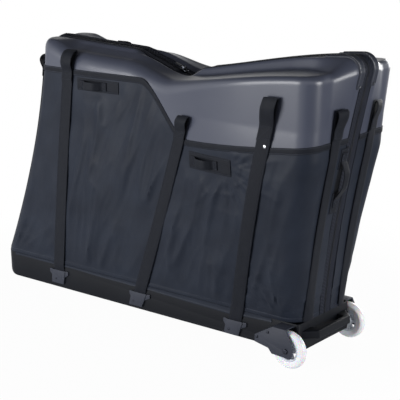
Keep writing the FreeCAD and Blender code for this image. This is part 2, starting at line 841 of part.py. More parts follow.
tub_outer = tub_form("tub_outer", "0")
tub_inner = tub_form("tub_inner", "dims.tub_wall")
tub_shell = cut("tub_shell", tub_outer, tub_inner)
axle_place = "dims.base_length - dims.axle_setback"
axle_hole = rod("axle_hole", "dims.axle_diameter / 2 + dims.fit_gap", "dims.base_width + 2",
                axle_place, "-dims.base_width / 2 - 1", "dims.wheel_diameter / 2")
keep(cut("base_tray", tub_shell, axle_hole), "base_tray")

# Tub pad, bike rail and the two stands that hold the bike's frame.
foam_inset = "dims.tub_wall + dims.fit_gap"
foam_level = "dims.tub_clearance + " + foam_inset
foam_limit = add("Part::Box", "foam_limit", Length=axle_place + " - 30", Width="dims.base_width",
                 Height="dims.foam_thickness")
at(foam_limit, "0", "-dims.base_width / 2", foam_level)
base_foam = doc.addObject("Part::Common", "base_foam")
base_foam.Base = tub_form("foam", foam_inset)
base_foam.Tool = foam_limit
keep(base_foam, "base_foam")

rail_level = foam_level + " + dims.foam_thickness + dims.fit_gap"
rail_start = "(dims.base_length - dims.rail_length) / 2"
rail_tube = add("Part::Box", "rail_tube", Length="dims.rail_length", Width="dims.rail_width",
                Height="dims.rail_height")
at(rail_tube, rail_start, "-dims.rail_width / 2", rail_level)
rail_bore = add("Part::Box", "rail_bore", Length="dims.rail_length + 2",
                Width="dims.rail_width - 2 * dims.rail_wall", Height="dims.rail_height - 2 * dims.rail_wall")
at(rail_bore, rail_start + " - 1", "-dims.rail_width / 2 + dims.rail_wall", rail_level + " + dims.rail_wall")
keep(cut("bike_rail", rail_tube, rail_bore), "bike_rail")

stand_level = rail_level + " + dims.rail_height"
stand_depth = "dims.rail_width"
stand_height = "1.75 * dims.rail_width"


def stand(label, width, x):
    # A block across the rail with a bore for one of the bike's axles.
    block = add("Part::Box", label + "_block", Length=stand_depth, Width=width, Height=stand_height)
    at(block, x, "-(%s) / 2" % width, stand_level)
    bore = rod(label + "_bore", "dims.thru_axle / 2", width + " + 2", x + " + dims.rail_width / 2",
               "-(%s) / 2 - 1" % width, stand_level + " + 1.3 * dims.rail_width")
    return keep(cut(label, block, bore), label)


rail_end = "(dims.base_length + dims.rail_length) / 2"
stand("fork_stand", "dims.fork_spacing", rail_end + " - 3 * dims.rail_width")
stand("dropout_stand", "dims.hub_spacing", rail_start + " + 2 * dims.rail_width")


# Grips at both ends of the tub, each a flat hoop.
def hoop(label, depth, gap_depth, length, arm, flare, height, rounding, local, turn):
    body = doc.addObject("PartDesign::Body", label)
    sketch = sketch_on(body, "XY_Plane", label + "_outline")
    half = length / 2
    reach = depth * turn
    room = gap_depth * turn
    closed_line(sketch, [(0, -half - flare), (reach, -half), (reach, half), (0, half + flare), (0, half - arm),
                         (room, half - arm), (room, arm - half), (0, arm - half)])
    pad = body.newObject("PartDesign::Pad", label + "_pad")
    pad.Profile = sketch
    pad.setExpression("Length", height)
    doc.recompute()
    soft = body.newObject("PartDesign::Fillet", label + "_edges")
    outer = [number for number, edge in enumerate(pad.Shape.Edges, start=1)
             if max(abs(vertex.X) for vertex in edge.Vertexes) > 0.01]
    soft.Base = (pad, ["Edge%d" % number for number in outer])
    soft.Radius = rounding
    return keep(body, label, False, Placement(local, Rotation()))


grip_level = tub_top - dim("grip_height") - 22
hoop("rear_grab_bar", dim("grip_gap") + dim("grip_bar"), dim("grip_gap"), dim("grip_length"), dim("grip_bar"),
     0.22 * dim("grip_length"), "dims.grip_height", 4.0, Vector(base_length, 0, grip_level), 1)
nose_grip_level = tub_top - dim("nose_grip_height") - 5
hoop("front_grip", dim("nose_grip_gap") + dim("nose_grip_bar"), dim("nose_grip_gap"), 0.9 * dim("grip_length"),
     dim("nose_grip_bar"), 0, "dims.nose_grip_height", 2.0, Vector(0, 0, nose_grip_level), -1)

# The case stands on its wheels and skids, so its floor plane leans against the tub.
skid_sole = Vector(dim("skid_setback"), 0, tub_bottom - dim("skid_height"))
axle_span = math.hypot(axle_x - skid_sole.x, wheel_radius - skid_sole.z)
axle_angle = math.atan2(wheel_radius - skid_sole.z, axle_x - skid_sole.x)
floor_angle = axle_angle - math.asin(wheel_radius / axle_span)
skid_half_length = 30.0
skid_half_width = 13.0
skid_y = 0.7 * base_half


def floor_z(x):
    return skid_sole.z + (x - skid_sole.x) * math.tan(floor_angle)


skid_first = skid_sole.x - skid_half_length
skid_last = skid_sole.x + skid_half_length
skid_body = doc.addObject("PartDesign::Body", "skid_body")
skid_sketch = sketch_on(skid_body, "XZ_Plane", "skid_outline")
closed_line(skid_sketch, [(skid_first, tub_bottom), (skid_first, floor_z(skid_first)),
                          (skid_last, floor_z(skid_last)), (skid_last, tub_bottom)])
skid_pad = skid_body.newObject("PartDesign::Pad", "skid_pad")
skid_pad.Profile = skid_sketch
skid_pad.SideType = "Symmetric"
skid_pad.Length = 2 * skid_half_width
skid_body.Placement.Base.y = -skid_y
doc.recompute()
shaped("front_skids", Part.makeCompound([skid_body.Shape, mirror_of(skid_body.Shape)]))

# Strap ends on the tub's sides, each held by a raised plate with an ear on either side.
anchor_height = 44.0
tail_high = tub_top - 8
strap_face = base_half + gap
plate_face = strap_face + dim("strap_thickness") + gap
anchor_plate = 3.0
anchor_top_half = strap_half + gap + 6
anchor_low_half = strap_half + gap + 3
anchor_room = strap_half + 4 * gap
anchor_bridge = 6.0
ear_reach = 12.0
ear_height = 22.0
ear_thickness = 4.0
rivet_radius = 3.0
rivet_height = 1.2
rivet_rise = 14.0


def slab(corners, face, depth):
    # A flat piece on the near side from its outline in side view, growing outwards.
    spots = [Vector(x, -face, z) for x, z in corners]
    return Part.Face(Part.makePolygon(spots + spots[:1])).extrude(Vector(0, -depth, 0))


anchors = []
rivets = []
tails = []
for label, foot, top, top_level, fold_level, plate_level in side_straps:
    middle = leaning(foot, top, top_level)
    anchor_low = plate_level - anchor_height
    low_x = middle(anchor_low)
    high_x = middle(plate_level)
    anchor = slab([(low_x - anchor_low_half, anchor_low), (low_x + anchor_low_half, anchor_low),
                   (high_x + anchor_top_half, plate_level), (high_x - anchor_top_half, plate_level)],
                  plate_face, anchor_plate)
    bridge_high = anchor_low + anchor_bridge
    bridge = slab([(low_x - anchor_low_half, anchor_low), (low_x + anchor_low_half, anchor_low),
                   (low_x + anchor_low_half, bridge_high), (low_x - anchor_low_half, bridge_high)],
                  base_half, plate_face - base_half)
    anchor = anchor.fuse(bridge)
    for side in (-1, 1):
        rail = slab([(low_x + side * anchor_room, anchor_low), (low_x + side * anchor_low_half, anchor_low),
                     (high_x + side * anchor_top_half, plate_level), (high_x + side * anchor_room, plate_level)],
                    base_half, plate_face - base_half)
        ear_foot = middle(plate_level - ear_height) + side * anchor_low_half
        ear_start = high_x + side * anchor_low_half
        ear_end = high_x + side * (anchor_top_half + ear_reach)
        ear = slab([(ear_foot, plate_level - ear_height), (ear_end, plate_level - ear_height / 2),
                    (ear_end, plate_level), (ear_start, plate_level)], base_half, ear_thickness)
        anchor = anchor.fuse([rail, ear])
    anchors.append(anchor.removeSplitter())
    spot = Vector(low_x - strap_half / 3, -plate_face - anchor_plate, anchor_low + rivet_rise)
    rivets.append(Part.makeCylinder(rivet_radius, rivet_height, spot, Vector(0, -1, 0)))
    tail_low = anchor_low + anchor_bridge + 4
    tails.append(slab([(middle(tail_low) - strap_half, tail_low), (middle(tail_low) + strap_half, tail_low),
                       (middle(tail_high) + strap_half, tail_high), (middle(tail_high) - strap_half, tail_high)],
                      strap_face, dim("strap_thickness")))
for label, pieces in (("strap_anchors", anchors), ("anchor_rivets", rivets), ("strap_tails", tails)):
    shaped(label, Part.makeCompound(pieces + [mirror_of(piece) for piece in pieces]))

# Wheel brackets: a moulded block beside the tub with a round bay for the wheel.
wheel_room = 5.0
side_room = 3.0
bracket_depth = wheel_y + dim("wheel_width") / 2 + side_room + dim("bracket_plate") - base_half
bracket_corners = [(-104, 6), (-103, 27), (-42, 62), (1, 61.5), (11.5, 40), (21.5, 18), (21.5, -7), (15.5, -20),
                   (-46, -17), (-58, -3)]
bracket_scale = wheel_radius / 54
bracket = doc.addObject("PartDesign::Body", "near_wheel_bracket")
bracket_sketch = sketch_on(bracket, "XZ_Plane", "bracket_outline")
closed_line(bracket_sketch, [(x * bracket_scale, z * bracket_scale) for x, z in bracket_corners])
bracket_pad = bracket.newObject("PartDesign::Pad", "bracket_block")
bracket_pad.Profile = bracket_sketch
bracket_pad.Length = bracket_depth
bay_sketch = sketch_on(bracket, "XZ_Plane", "bay_outline")
bay_sketch.addGeometry(Part.Circle(Vector(), Vector(0, 0, 1), wheel_radius + wheel_room), False)
bay = bracket.newObject("PartDesign::Pocket", "bay")
bay.Profile = bay_sketch
bay.Reversed = True
bay.Length = bracket_depth - dim("bracket_plate")
bore_sketch = sketch_on(bracket, "XZ_Plane", "bolt_outline")
bore_sketch.addGeometry(Part.Circle(Vector(), Vector(0, 0, 1), dim("axle_diameter") / 2 + gap), False)
bore = bracket.newObject("PartDesign::Pocket", "bolt_hole")
bore.Profile = bore_sketch
bore.Reversed = True
bore.Length = bracket_depth + 1
wheel_centre = Vector(axle_x, -wheel_y, wheel_radius)
keep(bracket, "near_wheel_bracket", True, Placement(Vector(axle_x, -base_half, wheel_radius), Rotation()))

# Axle bolt through bracket, wheel and tub wall, with its nut inside the tub.
plate_y = base_half + bracket_depth
bolt_head = 3.5
nut_length = 6.0
shaft_length = plate_y - base_half + tub_wall + gap + nut_length
shaft_end = -plate_y
shaft = rod("bolt_shaft", "dims.axle_diameter / 2", "%g" % shaft_length, axle_place, "%g" % shaft_end,
            "dims.wheel_diameter / 2")
head = rod("bolt_head", "0.94 * dims.axle_diameter", "%g" % bolt_head, axle_place, "%g" % (shaft_end - bolt_head),
           "dims.wheel_diameter / 2")
nut = rod("bolt_nut", "0.8 * dims.axle_diameter", "%g" % nut_length, axle_place,
          "%g" % (-base_half + tub_wall + gap), "dims.wheel_diameter / 2")
keep(fuse("near_axle_bolt", [shaft, head, nut]), "near_axle_bolt", True)


def ring(outer, inner, first, last):
    # A collar round the near axle between two distances from the case's middle.
    centre = Vector(axle_x, -first, wheel_radius)
    across = Vector(0, -1, 0)
    return Part.makeCylinder(outer, last - first, centre, across).cut(
        Part.makeCylinder(inner, last - first, centre, across))


axle_fit = dim("axle_diameter") / 2 + gap
wheel_inner = wheel_y - dim("wheel_width") / 2
wheel_outer = wheel_y + dim("wheel_width") / 2
spacers = [ring(1.6 * axle_fit, axle_fit, base_half, wheel_inner - gap),
           ring(1.6 * axle_fit, axle_fit, wheel_outer + gap, plate_y - dim("bracket_plate"))]
shaped("axle_spacers", Part.makeCompound(spacers + [mirror_of(piece) for piece in spacers]))
screw_places = ((-96.0, 22.0), (-58.0, 43.0))
screw_radius = 4.0
screw_height = 2.5
screws = []
for x, z in screw_places:
    spot = Vector(axle_x + x * bracket_scale, -plate_y, wheel_radius + z * bracket_scale)
    screws.append(Part.makeCylinder(screw_radius, screw_height, spot, Vector(0, -1, 0)))
shaped("bracket_screws", Part.makeCompound(screws + [mirror_of(piece) for piece in screws]))

# Wheels: a soft tyre on a spoked core that runs on two ball bearings.
wheel_half = dim("wheel_width") / 2
core_radius = dim("core_diameter") / 2
crown_drop = 8.0
tyre = doc.addObject("PartDesign::Body", "near_tyre")
tyre_sketch = sketch_on(tyre, "XY_Plane", "tyre_profile")
inner_low = Vector(core_radius, -wheel_half + 2, 0)
outer_low = Vector(wheel_radius - crown_drop, -wheel_half, 0)
outer_high = Vector(wheel_radius - crown_drop, wheel_half, 0)
inner_high = Vector(core_radius, wheel_half - 2, 0)
tyre_sketch.addGeometry(Part.LineSegment(inner_low, outer_low), False)
tyre_sketch.addGeometry(Part.Arc(outer_low, Vector(wheel_radius, 0, 0), outer_high), False)
tyre_sketch.addGeometry(Part.LineSegment(outer_high, inner_high), False)
tyre_sketch.addGeometry(Part.LineSegment(inner_high, inner_low), False)
tyre_turn = tyre.newObject("PartDesign::Revolution", "tyre_turn")
tyre_turn.Profile = tyre_sketch
tyre_turn.ReferenceAxis = (tyre_sketch, ["V_Axis"])
tyre_turn.Angle = 360
keep(tyre, "near_tyre", True, Placement(wheel_centre, Rotation()))

spoke_count = 5
rim_thickness = 5.0
boss_wall = 4.5
seat_radius = dim("bearing_diameter") / 2 + dim("running_gap")
core_rim = ring(core_radius - gap, core_radius - rim_thickness, wheel_inner + 3, wheel_outer - 3)
boss = ring(seat_radius + boss_wall, seat_radius, wheel_inner, wheel_outer)
spoke_reach = core_radius - rim_thickness / 2
spoke_block = Part.makeBox(spoke_reach - seat_radius - 1, 14, 8, Vector(seat_radius + 1, -7, -4))
hub_shape = core_rim.fuse(boss)
for number in range(spoke_count):
    spoke = spoke_block.copy()
    spoke.rotate(Vector(), Vector(0, 1, 0), 360 * number / spoke_count)
    spoke.translate(wheel_centre)
    hub_shape = hub_shape.fuse(spoke)
seat_step = ring(seat_radius, dim("bearing_diameter") / 2 - 2, wheel_inner + dim("bearing_width") + gap,
                 wheel_outer - dim("bearing_width") - gap)
shaped("near_hub", hub_shape.fuse(seat_step).removeSplitter(), True)
bearing_bore = dim("axle_diameter") / 2 + dim("running_gap")
shaped("near_bearings", Part.makeCompound([
    ring(dim("bearing_diameter") / 2, bearing_bore, wheel_inner, wheel_inner + dim("bearing_width")),
    ring(dim("bearing_diameter") / 2, bearing_bore, wheel_outer - dim("bearing_width"), wheel_outer)]), True)

# Zip slider on the saddle's slope, with a pull that swings on its bail.
slider_x = 0.585 * base_length
slide_travel = 45.0
slider_gap = 1.2
slider_length = 26.0
slider_width = 13.0
slider_height = 6.5
bail_level = 10.4
bail_radius = 1.5
pull_width = 8.4
pull_length = 34.0
pull_thickness = 2.2
upper_x = slider_x - slide_travel
slope = math.atan2(zip_z(upper_x) - zip_z(slider_x), slide_travel)
slider_place = Placement(
    Vector(slider_x, 0, zip_z(slider_x)), Rotation(Vector(0, 1, 0), math.degrees(slope))).multiply(
    Placement(Vector(0, 0, zip_proud + slider_gap), Rotation()))
carriage_corner = Vector(-slider_length / 2, -slider_width / 2, 0)
carriage = Part.makeBox(slider_length, slider_width, slider_height, carriage_corner)
carriage = carriage.makeFillet(2.0, carriage.Edges)
ear_depth = (slider_width - pull_width) / 2 - gap
for side in (-1, 1):
    ear_y = side * (slider_width - ear_depth) / 2 - ear_depth / 2
    carriage = carriage.fuse(Part.makeBox(7, ear_depth, bail_level + 2, Vector(-3.5, ear_y, 2)))
bail_start = Vector(0, -slider_width / 2 + 0.5, bail_level)
bail = Part.makeCylinder(bail_radius, slider_width - 1, bail_start, Vector(0, 1, 0))
slider = doc.addObject("Part::Feature", "zip_slider")
slider.Shape = carriage.fuse(bail).removeSplitter()
keep(slider, "zip_slider", False, slider_place)
knuckle_spot = Vector(0, -pull_width / 2, bail_level)
knuckle = Part.makeCylinder(bail_radius + 1.7, pull_width, knuckle_spot, Vector(0, 1, 0))
tab_corner = Vector(-1 - pull_length, -pull_width / 2, bail_level - pull_thickness / 2)
tab = Part.makeBox(pull_length, pull_width, pull_thickness, tab_corner)
pull = doc.addObject("Part::Feature", "zip_pull")
pull.Shape = knuckle.fuse(tab).cut(
    Part.makeCylinder(bail_radius + gap, pull_width, knuckle_spot, Vector(0, 1, 0))).removeSplitter()
keep(pull, "zip_pull", False, slider_place)
doc.recompute()

# Stand the case on its floor and put its middle over the origin.
upright = Rotation(Vector(0, 1, 0), math.degrees(floor_angle))
stand_turn = Placement(Vector(), upright)
bounds = FreeCAD.BoundBox()
for piece, local in nodes:
    turned = piece.Shape.copy()
    turned.Placement = stand_turn.multiply(local)
    bounds.add(turned.optimalBoundingBox(False, False))
sole_turned = upright.multVec(skid_sole)
stand_place = Placement(Vector(-(bounds.XMin + bounds.XMax) / 2, 0, -sole_turned.z), upright)
for piece, local in nodes:
    piece.Placement = stand_place.multiply(local)
doc.recompute()

exports = [piece for piece, local in nodes]
for piece, label in mirrored:
    twin = doc.addObject("Part::Mirroring", label.replace("near_", "far_"))
    twin.Source = piece
    twin.Base = Vector(0, 0, 0)
    twin.Normal = Vector(0, 1, 0)
    twin.Label = label.replace("near_", "far_")
    exports.append(twin)
doc.recompute()

for item in doc.Objects:
    if "Invalid" in item.State or "Error" in item.State:
        raise RuntimeError("%s did not compute" % item.Label)
for piece in exports:
    if piece.Shape.isNull() or not piece.Shape.isValid():
        raise RuntimeError("%s has no valid shape" % piece.Label)

os.makedirs("parts", exist_ok=True)
for piece in exports:
    piece.Shape.exportStep("parts/%s.step" % piece.Label)

# Places in the standing frame that a user of the case may want.
hinge_spot = Vector(base_length / 2, -base_half, seam_z)
bail_spot = slider_place.multVec(Vector(0, 0, bail_level))
for name, spot in (("hinge", hinge_spot), ("wheel", wheel_centre), ("slider", slider_place.Base),
                   ("bail", bail_spot), ("skid", skid_sole)):
    placed = stand_place.multVec(spot)
    print("%s %.3f %.3f %.3f" % (name, placed.x, placed.y, placed.z))
for name, arrow in (("along", Vector(1, 0, 0)), ("slide", slider_place.Rotation.multVec(Vector(-1, 0, 0)))):
    turned = upright.multVec(arrow)
    print("%s %.6f %.6f %.6f" % (name, turned.x, turned.y, turned.z))
print("stand %.3f %.3f %.6f" % (stand_place.Base.x, stand_place.Base.z, floor_angle))
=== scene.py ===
import bmesh
import bpy
import math
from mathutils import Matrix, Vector, noise


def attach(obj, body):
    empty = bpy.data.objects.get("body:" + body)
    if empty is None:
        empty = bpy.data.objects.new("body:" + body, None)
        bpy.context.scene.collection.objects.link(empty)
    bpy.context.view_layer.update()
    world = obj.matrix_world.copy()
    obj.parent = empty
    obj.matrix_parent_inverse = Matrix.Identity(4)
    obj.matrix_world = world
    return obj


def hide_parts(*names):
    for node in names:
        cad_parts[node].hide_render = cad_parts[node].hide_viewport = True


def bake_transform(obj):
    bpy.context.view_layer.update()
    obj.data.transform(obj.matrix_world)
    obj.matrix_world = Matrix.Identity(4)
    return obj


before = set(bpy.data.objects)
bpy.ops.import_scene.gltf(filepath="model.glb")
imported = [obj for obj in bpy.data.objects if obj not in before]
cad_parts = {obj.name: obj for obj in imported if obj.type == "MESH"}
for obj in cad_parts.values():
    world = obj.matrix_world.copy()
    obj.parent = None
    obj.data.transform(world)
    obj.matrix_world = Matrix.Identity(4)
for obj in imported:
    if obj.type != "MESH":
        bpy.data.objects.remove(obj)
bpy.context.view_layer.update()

from types import SimpleNamespace

# A wheeled bike travel case. Millimetres in the case's own frame: X from nose to tail,
# Y from the near to the far side, Z up from the wheels' lowest point.
case = SimpleNamespace(
    length=1190.0, baseHalf=123.0, tubTop=120.0, bagHeight=702.0, crest=822.0,
    frontHalf=129.0, tailHalf=190.0, tailFlare=12.0, noseTaper=18.0, noseLean=207.0, tailLean=138.0,
    noseCorner=52.0, tailCorner=54.0, frontShoulder=44.0, tailShoulder=16.0, noseEdge=14.0, tailEdge=20.0,
    ridgeEdge=42.0, crestFall=19.0, saddleDrop=70.0, tailDrop=8.0, rimHalf=38.0, rimStep=20.0, rimCrown=6.0,
    rimValley=10.0,
    roofFall=14.0, roofRun=60.0, blockRise=7.0, facetRun=76.0, guardShelf=18.0, ridgeStep=17.0, ridgeRise=33.0,
    bindingFront=82.0, bindingLow=234.0, bindingTail=194.0, seam=120.3, shellEdge=27.7, bandEdge=27.4)
stance = {"turn": -0.028427, "shiftX": -641.421, "shiftZ": -33.375}  # how it leans on skids and wheels


def eased(value):
    value = min(max(value, 0.0), 1.0)
    return value * value * (3 - 2 * value)


def along(share):
    return share * case.length


def between(value, knots):
    # A straight line from knot to knot.
    for (a, first), (b, second) in zip(knots, knots[1:]):
        if value <= b:
            return first + (second - first) * max(value - a, 0.0) / (b - a)
    return knots[-1][1]


def heightShare(z):
    return min(max((z - case.tubTop) / case.bagHeight, 0.0), 1.0)


def noseX(z):
    return case.noseLean * (1 - (1 - heightShare(z)) ** 1.6)


def ridgeTailX(z):
    return case.length + case.tailLean * heightShare(z) ** 1.35


def shellTailX(z):
    knee = case.tubTop + 0.66 * case.bagHeight
    return ridgeTailX(min(z, knee)) + 0.105 * max(z - knee, 0.0)


tailX = ridgeTailX(case.crest)


def ledgeZ(x):
    start, low = along(0.47), along(0.635)
    frontEnd, lowZ = case.crest - case.crestFall, case.crest - case.saddleDrop
    if x <= start:
        return case.crest - case.crestFall * max(x - case.noseLean, 0.0) / (start - case.noseLean)
    if x <= low:
        return frontEnd + (lowZ - frontEnd) * eased((x - start) / (low - start))
    share = min((x - low) / (tailX - low), 1.0)
    return lowZ + (case.saddleDrop - case.tailDrop) * math.sin(math.pi / 2 * share) ** 1.3


def zipLift(x):
    dip = (case.rimCrown + case.rimValley) * eased((x - along(0.45)) / along(0.055))
    climb = (case.rimValley + case.ridgeStep) * eased((x - along(0.612)) / along(0.065))
    rise = (case.ridgeRise - case.ridgeStep) * max(x - along(0.612), 0.0) / (tailX - along(0.612))
    return case.rimCrown - dip + climb + rise


def halfWidth(x, z):
    share = heightShare(z)
    front = case.baseHalf + (case.frontHalf - case.baseHalf) * math.sin(math.pi * share)
    tail = case.baseHalf + (case.tailHalf - case.baseHalf) * math.sin(math.pi / 2 * min(share / 0.78, 1.0))
    tail += case.tailFlare * max(share - 0.78, 0.0) / 0.22
    drawn = min(max((along(0.36) - x) / (along(0.36) - case.noseLean), 0.0), 1.0)
    taper = case.noseTaper * share * drawn ** 1.25
    return front - taper + (tail - front) * eased((x - along(0.50)) / along(0.41))


def rimShare(x, y, inset):
    slant = eased((x - along(0.985)) / (tailX - along(0.985)))
    run = case.rimStep + (case.facetRun - case.rimStep) * slant
    lift = min(max(zipLift(x) / case.rimStep, -1.0), 1.0)
    shelf = case.guardShelf * eased((x - along(0.93)) / along(0.09))
    out = (abs(y) - case.rimHalf + case.rimStep / 2 - shelf + inset * lift) / run
    return 1 - eased(out) - (min(max(out, 0.0), 1.0) - eased(out)) * slant


def topZ(x, y, inset):
    front = 1 - eased((x - along(0.47)) / along(0.165))
    block = 1 - eased((x - case.noseLean - 48) / 90)
    fall = case.roofFall * front * (1 - block) * eased((abs(y) - case.rimHalf + case.rimStep / 2) / case.roofRun)
    rim = rimShare(x, y, inset)
    return ledgeZ(x) + case.blockRise * block * (1 - rim) - fall + zipLift(x) * rim - inset


def rearX(y, z, inset):
    flush = shellTailX(z)
    return flush + (ridgeTailX(z) - flush) * rimShare(tailX, y, inset) - inset


def cornerRound(endX, corner, inward, z):
    # An end's corner in plan: its radius, kept clear of the rim, and where it starts along the case.
    limit = halfWidth(endX + inward * corner, z) - case.rimHalf - case.rimStep / 2 - 6
    radius = min(corner, limit)
    return radius, endX + inward * radius


def tailRound(z):
    return cornerRound(shellTailX(z), case.tailCorner, -1, z)


def noseRound(z):
    return cornerRound(noseX(z), case.noseCorner, 1, z)


# Stations run round the near half in plan, from the zip at the tail to the zip at the nose.
def stationsOf(tailEnd, tailTurn, side, noseTurn, noseEnd):
    kinds = ("tailEnd", "tailTurn", "side", "noseTurn", "noseEnd")
    counts = (tailEnd, tailTurn, side, noseTurn, noseEnd)
    rows = [(kind, step / count) for kind, count in zip(kinds, counts) for step in range(count)]
    return rows + [("noseEnd", 1.0)]


def planPoint(station, z, inset=0.0):
    kind, share = station
    turn = share * math.pi / 2
    rearRadius, rearJoin = tailRound(z)
    if kind == "tailEnd":
        flat = halfWidth(rearJoin, z) - rearRadius
        shelf = case.rimHalf - case.rimStep / 2 + case.guardShelf
        facet = min(shelf + case.facetRun, flat - 6)
        y = between(share, ((0.0, case.shellEdge), (0.22, shelf), (0.78, facet), (1.0, flat)))
        return Vector((rearX(y, z, inset), -y, z))
    if kind == "tailTurn":
        flat = halfWidth(rearJoin, z) - rearRadius
        radius = rearRadius - inset
        return Vector((rearJoin + radius * math.cos(turn), -flat - radius * math.sin(turn), z))
    frontRadius, frontJoin = noseRound(z)
    if kind == "side":
        x = rearJoin + share * (frontJoin - rearJoin)
        return Vector((x, inset - halfWidth(x, z), z))
    flat = halfWidth(frontJoin, z) - frontRadius
    if kind == "noseTurn":
        radius = frontRadius - inset
        return Vector((frontJoin - radius * math.sin(turn), -flat - radius * math.cos(turn), z))
    return Vector((noseX(z) + inset, -(flat + share * (case.shellEdge - flat)), z))


def sideRadius(x):
    return case.frontShoulder + (case.tailShoulder - case.frontShoulder) * eased((x - along(0.50)) / along(0.41))


def shoulderRadius(station, x, inset):
    kind, share = station
    side = sideRadius(x)
    if kind == "tailEnd":
        side = case.tailEdge + (case.ridgeEdge - case.tailEdge) * min(max((0.78 - share) / 0.56, 0.0), 1.0)
    elif kind == "tailTurn":
        side = case.tailEdge + (side - case.tailEdge) * eased(share)
    elif kind == "noseTurn":
        side += (case.noseEdge - side) * eased(share)
    elif kind == "noseEnd":
        side = case.noseEdge
    return side - inset


def bindingZ(x):
    front, low = case.crest - case.bindingFront, case.crest - case.bindingLow
    if x <= along(0.705):
        return front + (low - front) * eased((x - along(0.535)) / along(0.17))
    return low + (case.bindingLow - case.bindingTail) * ((x - along(0.705)) / (tailX - along(0.705))) ** 1.3


def stationBinding(station, inset=0.0):
    z = case.crest - case.bindingLow
    for _ in range(6):
        z = bindingZ(planPoint(station, z, inset).x)
    return z


def sidePoint(x, z, inset=0.0):
    radius = sideRadius(x) - inset
    level = topZ(x, halfWidth(x, case.crest), inset) - radius
    into = min(max((z - level) / radius, 0.0), 1.0)
    return Vector((x, inset + radius * (1 - math.sqrt(1 - into * into)) - halfWidth(x, min(z, level)), z))


def tailPoint(y, z, inset=0.0):
    radius, join = tailRound(z)
    flat = halfWidth(join, z) - radius
    if y <= flat:
        return Vector((rearX(y, z, inset), -y, z))
    across = min((y - flat) / (radius - inset), 1.0)
    return Vector((join + (radius - inset) * math.sqrt(1 - across * across), -y, z))


def nosePoint(y, z, inset=0.0):
    radius, join = noseRound(z)
    flat = halfWidth(join, z) - radius
    across = min(max((y - flat) / (radius - inset), 0.0), 1.0)
    return Vector((join - (radius - inset) * math.sqrt(1 - across * across), -y, z))


def evenly(points, count):
    # The same line with its points at equal distances.
    sums = [0.0]
    for first, second in zip(points, points[1:]):
        sums.append(sums[-1] + (second - first).length)
    line, index = [], 0
    for step in range(count + 1):
        goal = sums[-1] * step / count
        while index < len(points) - 2 and sums[index + 1] < goal:
            index += 1
        run = max(sums[index + 1] - sums[index], 1e-9)
        line.append(points[index].lerp(points[index + 1], (goal - sums[index]) / run))
    return line


def spread(first, last, count):
    return [first + (last - first) * step / count for step in range(count + 1)]


def lengthOf(line):
    return sum((second - first).length for first, second in zip(line, line[1:]))


def gridOf(columns, rows, place):
    return [[place(column, row) for row in rows] for column in columns]


def shoulderStart(station, inset):
    upper = case.crest - 44
    for _ in range(4):
        edge = planPoint(station, upper, inset)
        radius = shoulderRadius(station, edge.x, inset)
        upper = topZ(edge.x, edge.y, inset) - radius
    return planPoint(station, upper, inset), radius


def zipLine(inset, count=420):
    # Up the nose, over the top and down the tail, beside the zip.
    ends = []
    for station, inward in ((("noseEnd", 1.0), 1), (("tailEnd", 0.0), -1)):
        edge, radius = shoulderStart(station, inset)
        line = [planPoint(station, z, inset) for z in spread(case.seam, edge.z, 60)[:-1]]
        for turn in spread(0.0, math.pi / 2, 24):
            x = edge.x + inward * radius * (1 - math.cos(turn))
            line.append(Vector((x, edge.y, topZ(x, edge.y, inset) - radius * (1 - math.sin(turn)))))
        ends.append(line)
    nose, tail = ends
    top = [Vector((x, nose[-1].y, topZ(x, 0, inset))) for x in spread(nose[-1].x, tail[-1].x, 240)[1:-1]]
    return evenly(nose + top + tail[::-1], count)


print("outline ready")

# Colours and finishes.


def linear(hexColour):
    parts = [int(hexColour[spot:spot + 2], 16) / 255 for spot in (1, 3, 5)]
    return [part / 12.92 if part <= 0.04045 else ((part + 0.055) / 1.055) ** 2.4 for part in parts] + [1.0]


def addNode(tree, kind, links=(), sockets=(), **settings):
    node = tree.nodes.new("ShaderNode" + kind)
    for name, value in settings.items():
        setattr(node, name, value)
    for name, value in dict(sockets).items():
        node.inputs[name].default_value = value
    for name, source in dict(links).items():
        # A node given as a source stands for its first output.
        tree.links.new(source.outputs[0] if hasattr(source, "outputs") else source, node.inputs[name])
    return node


def newMaterial(name, sockets):
    material = bpy.data.materials.new(name)
    material.use_nodes = True
    tree = material.node_tree
    shader = tree.nodes["Principled BSDF"]
    for socket, value in sockets.items():
        shader.inputs[socket].default_value = value
    return material, tree, shader


def perMm(size):
    return 1000.0 / size  # texture scale for a detail of that many millimetres


def bandsPerMm(pitch):
    return 314.16 / pitch  # a wave texture's scale for bands that many millimetres apart


def mixedColour(tree, shader, factor, colours):
    ramp = addNode(tree, "ValToRGB", {"Fac": factor})
    for element, colour in zip(ramp.color_ramp.elements, colours):
        element.color = linear(colour)
    tree.links.new(ramp.outputs["Color"], shader.inputs["Base Color"])


def bumped(tree, shader, height, distanceMm, strength=1.0):
    bump = addNode(tree, "Bump", {"Height": height}, {"Distance": distanceMm / 1000, "Strength": strength})
    tree.links.new(bump.outputs["Normal"], shader.inputs["Normal"])


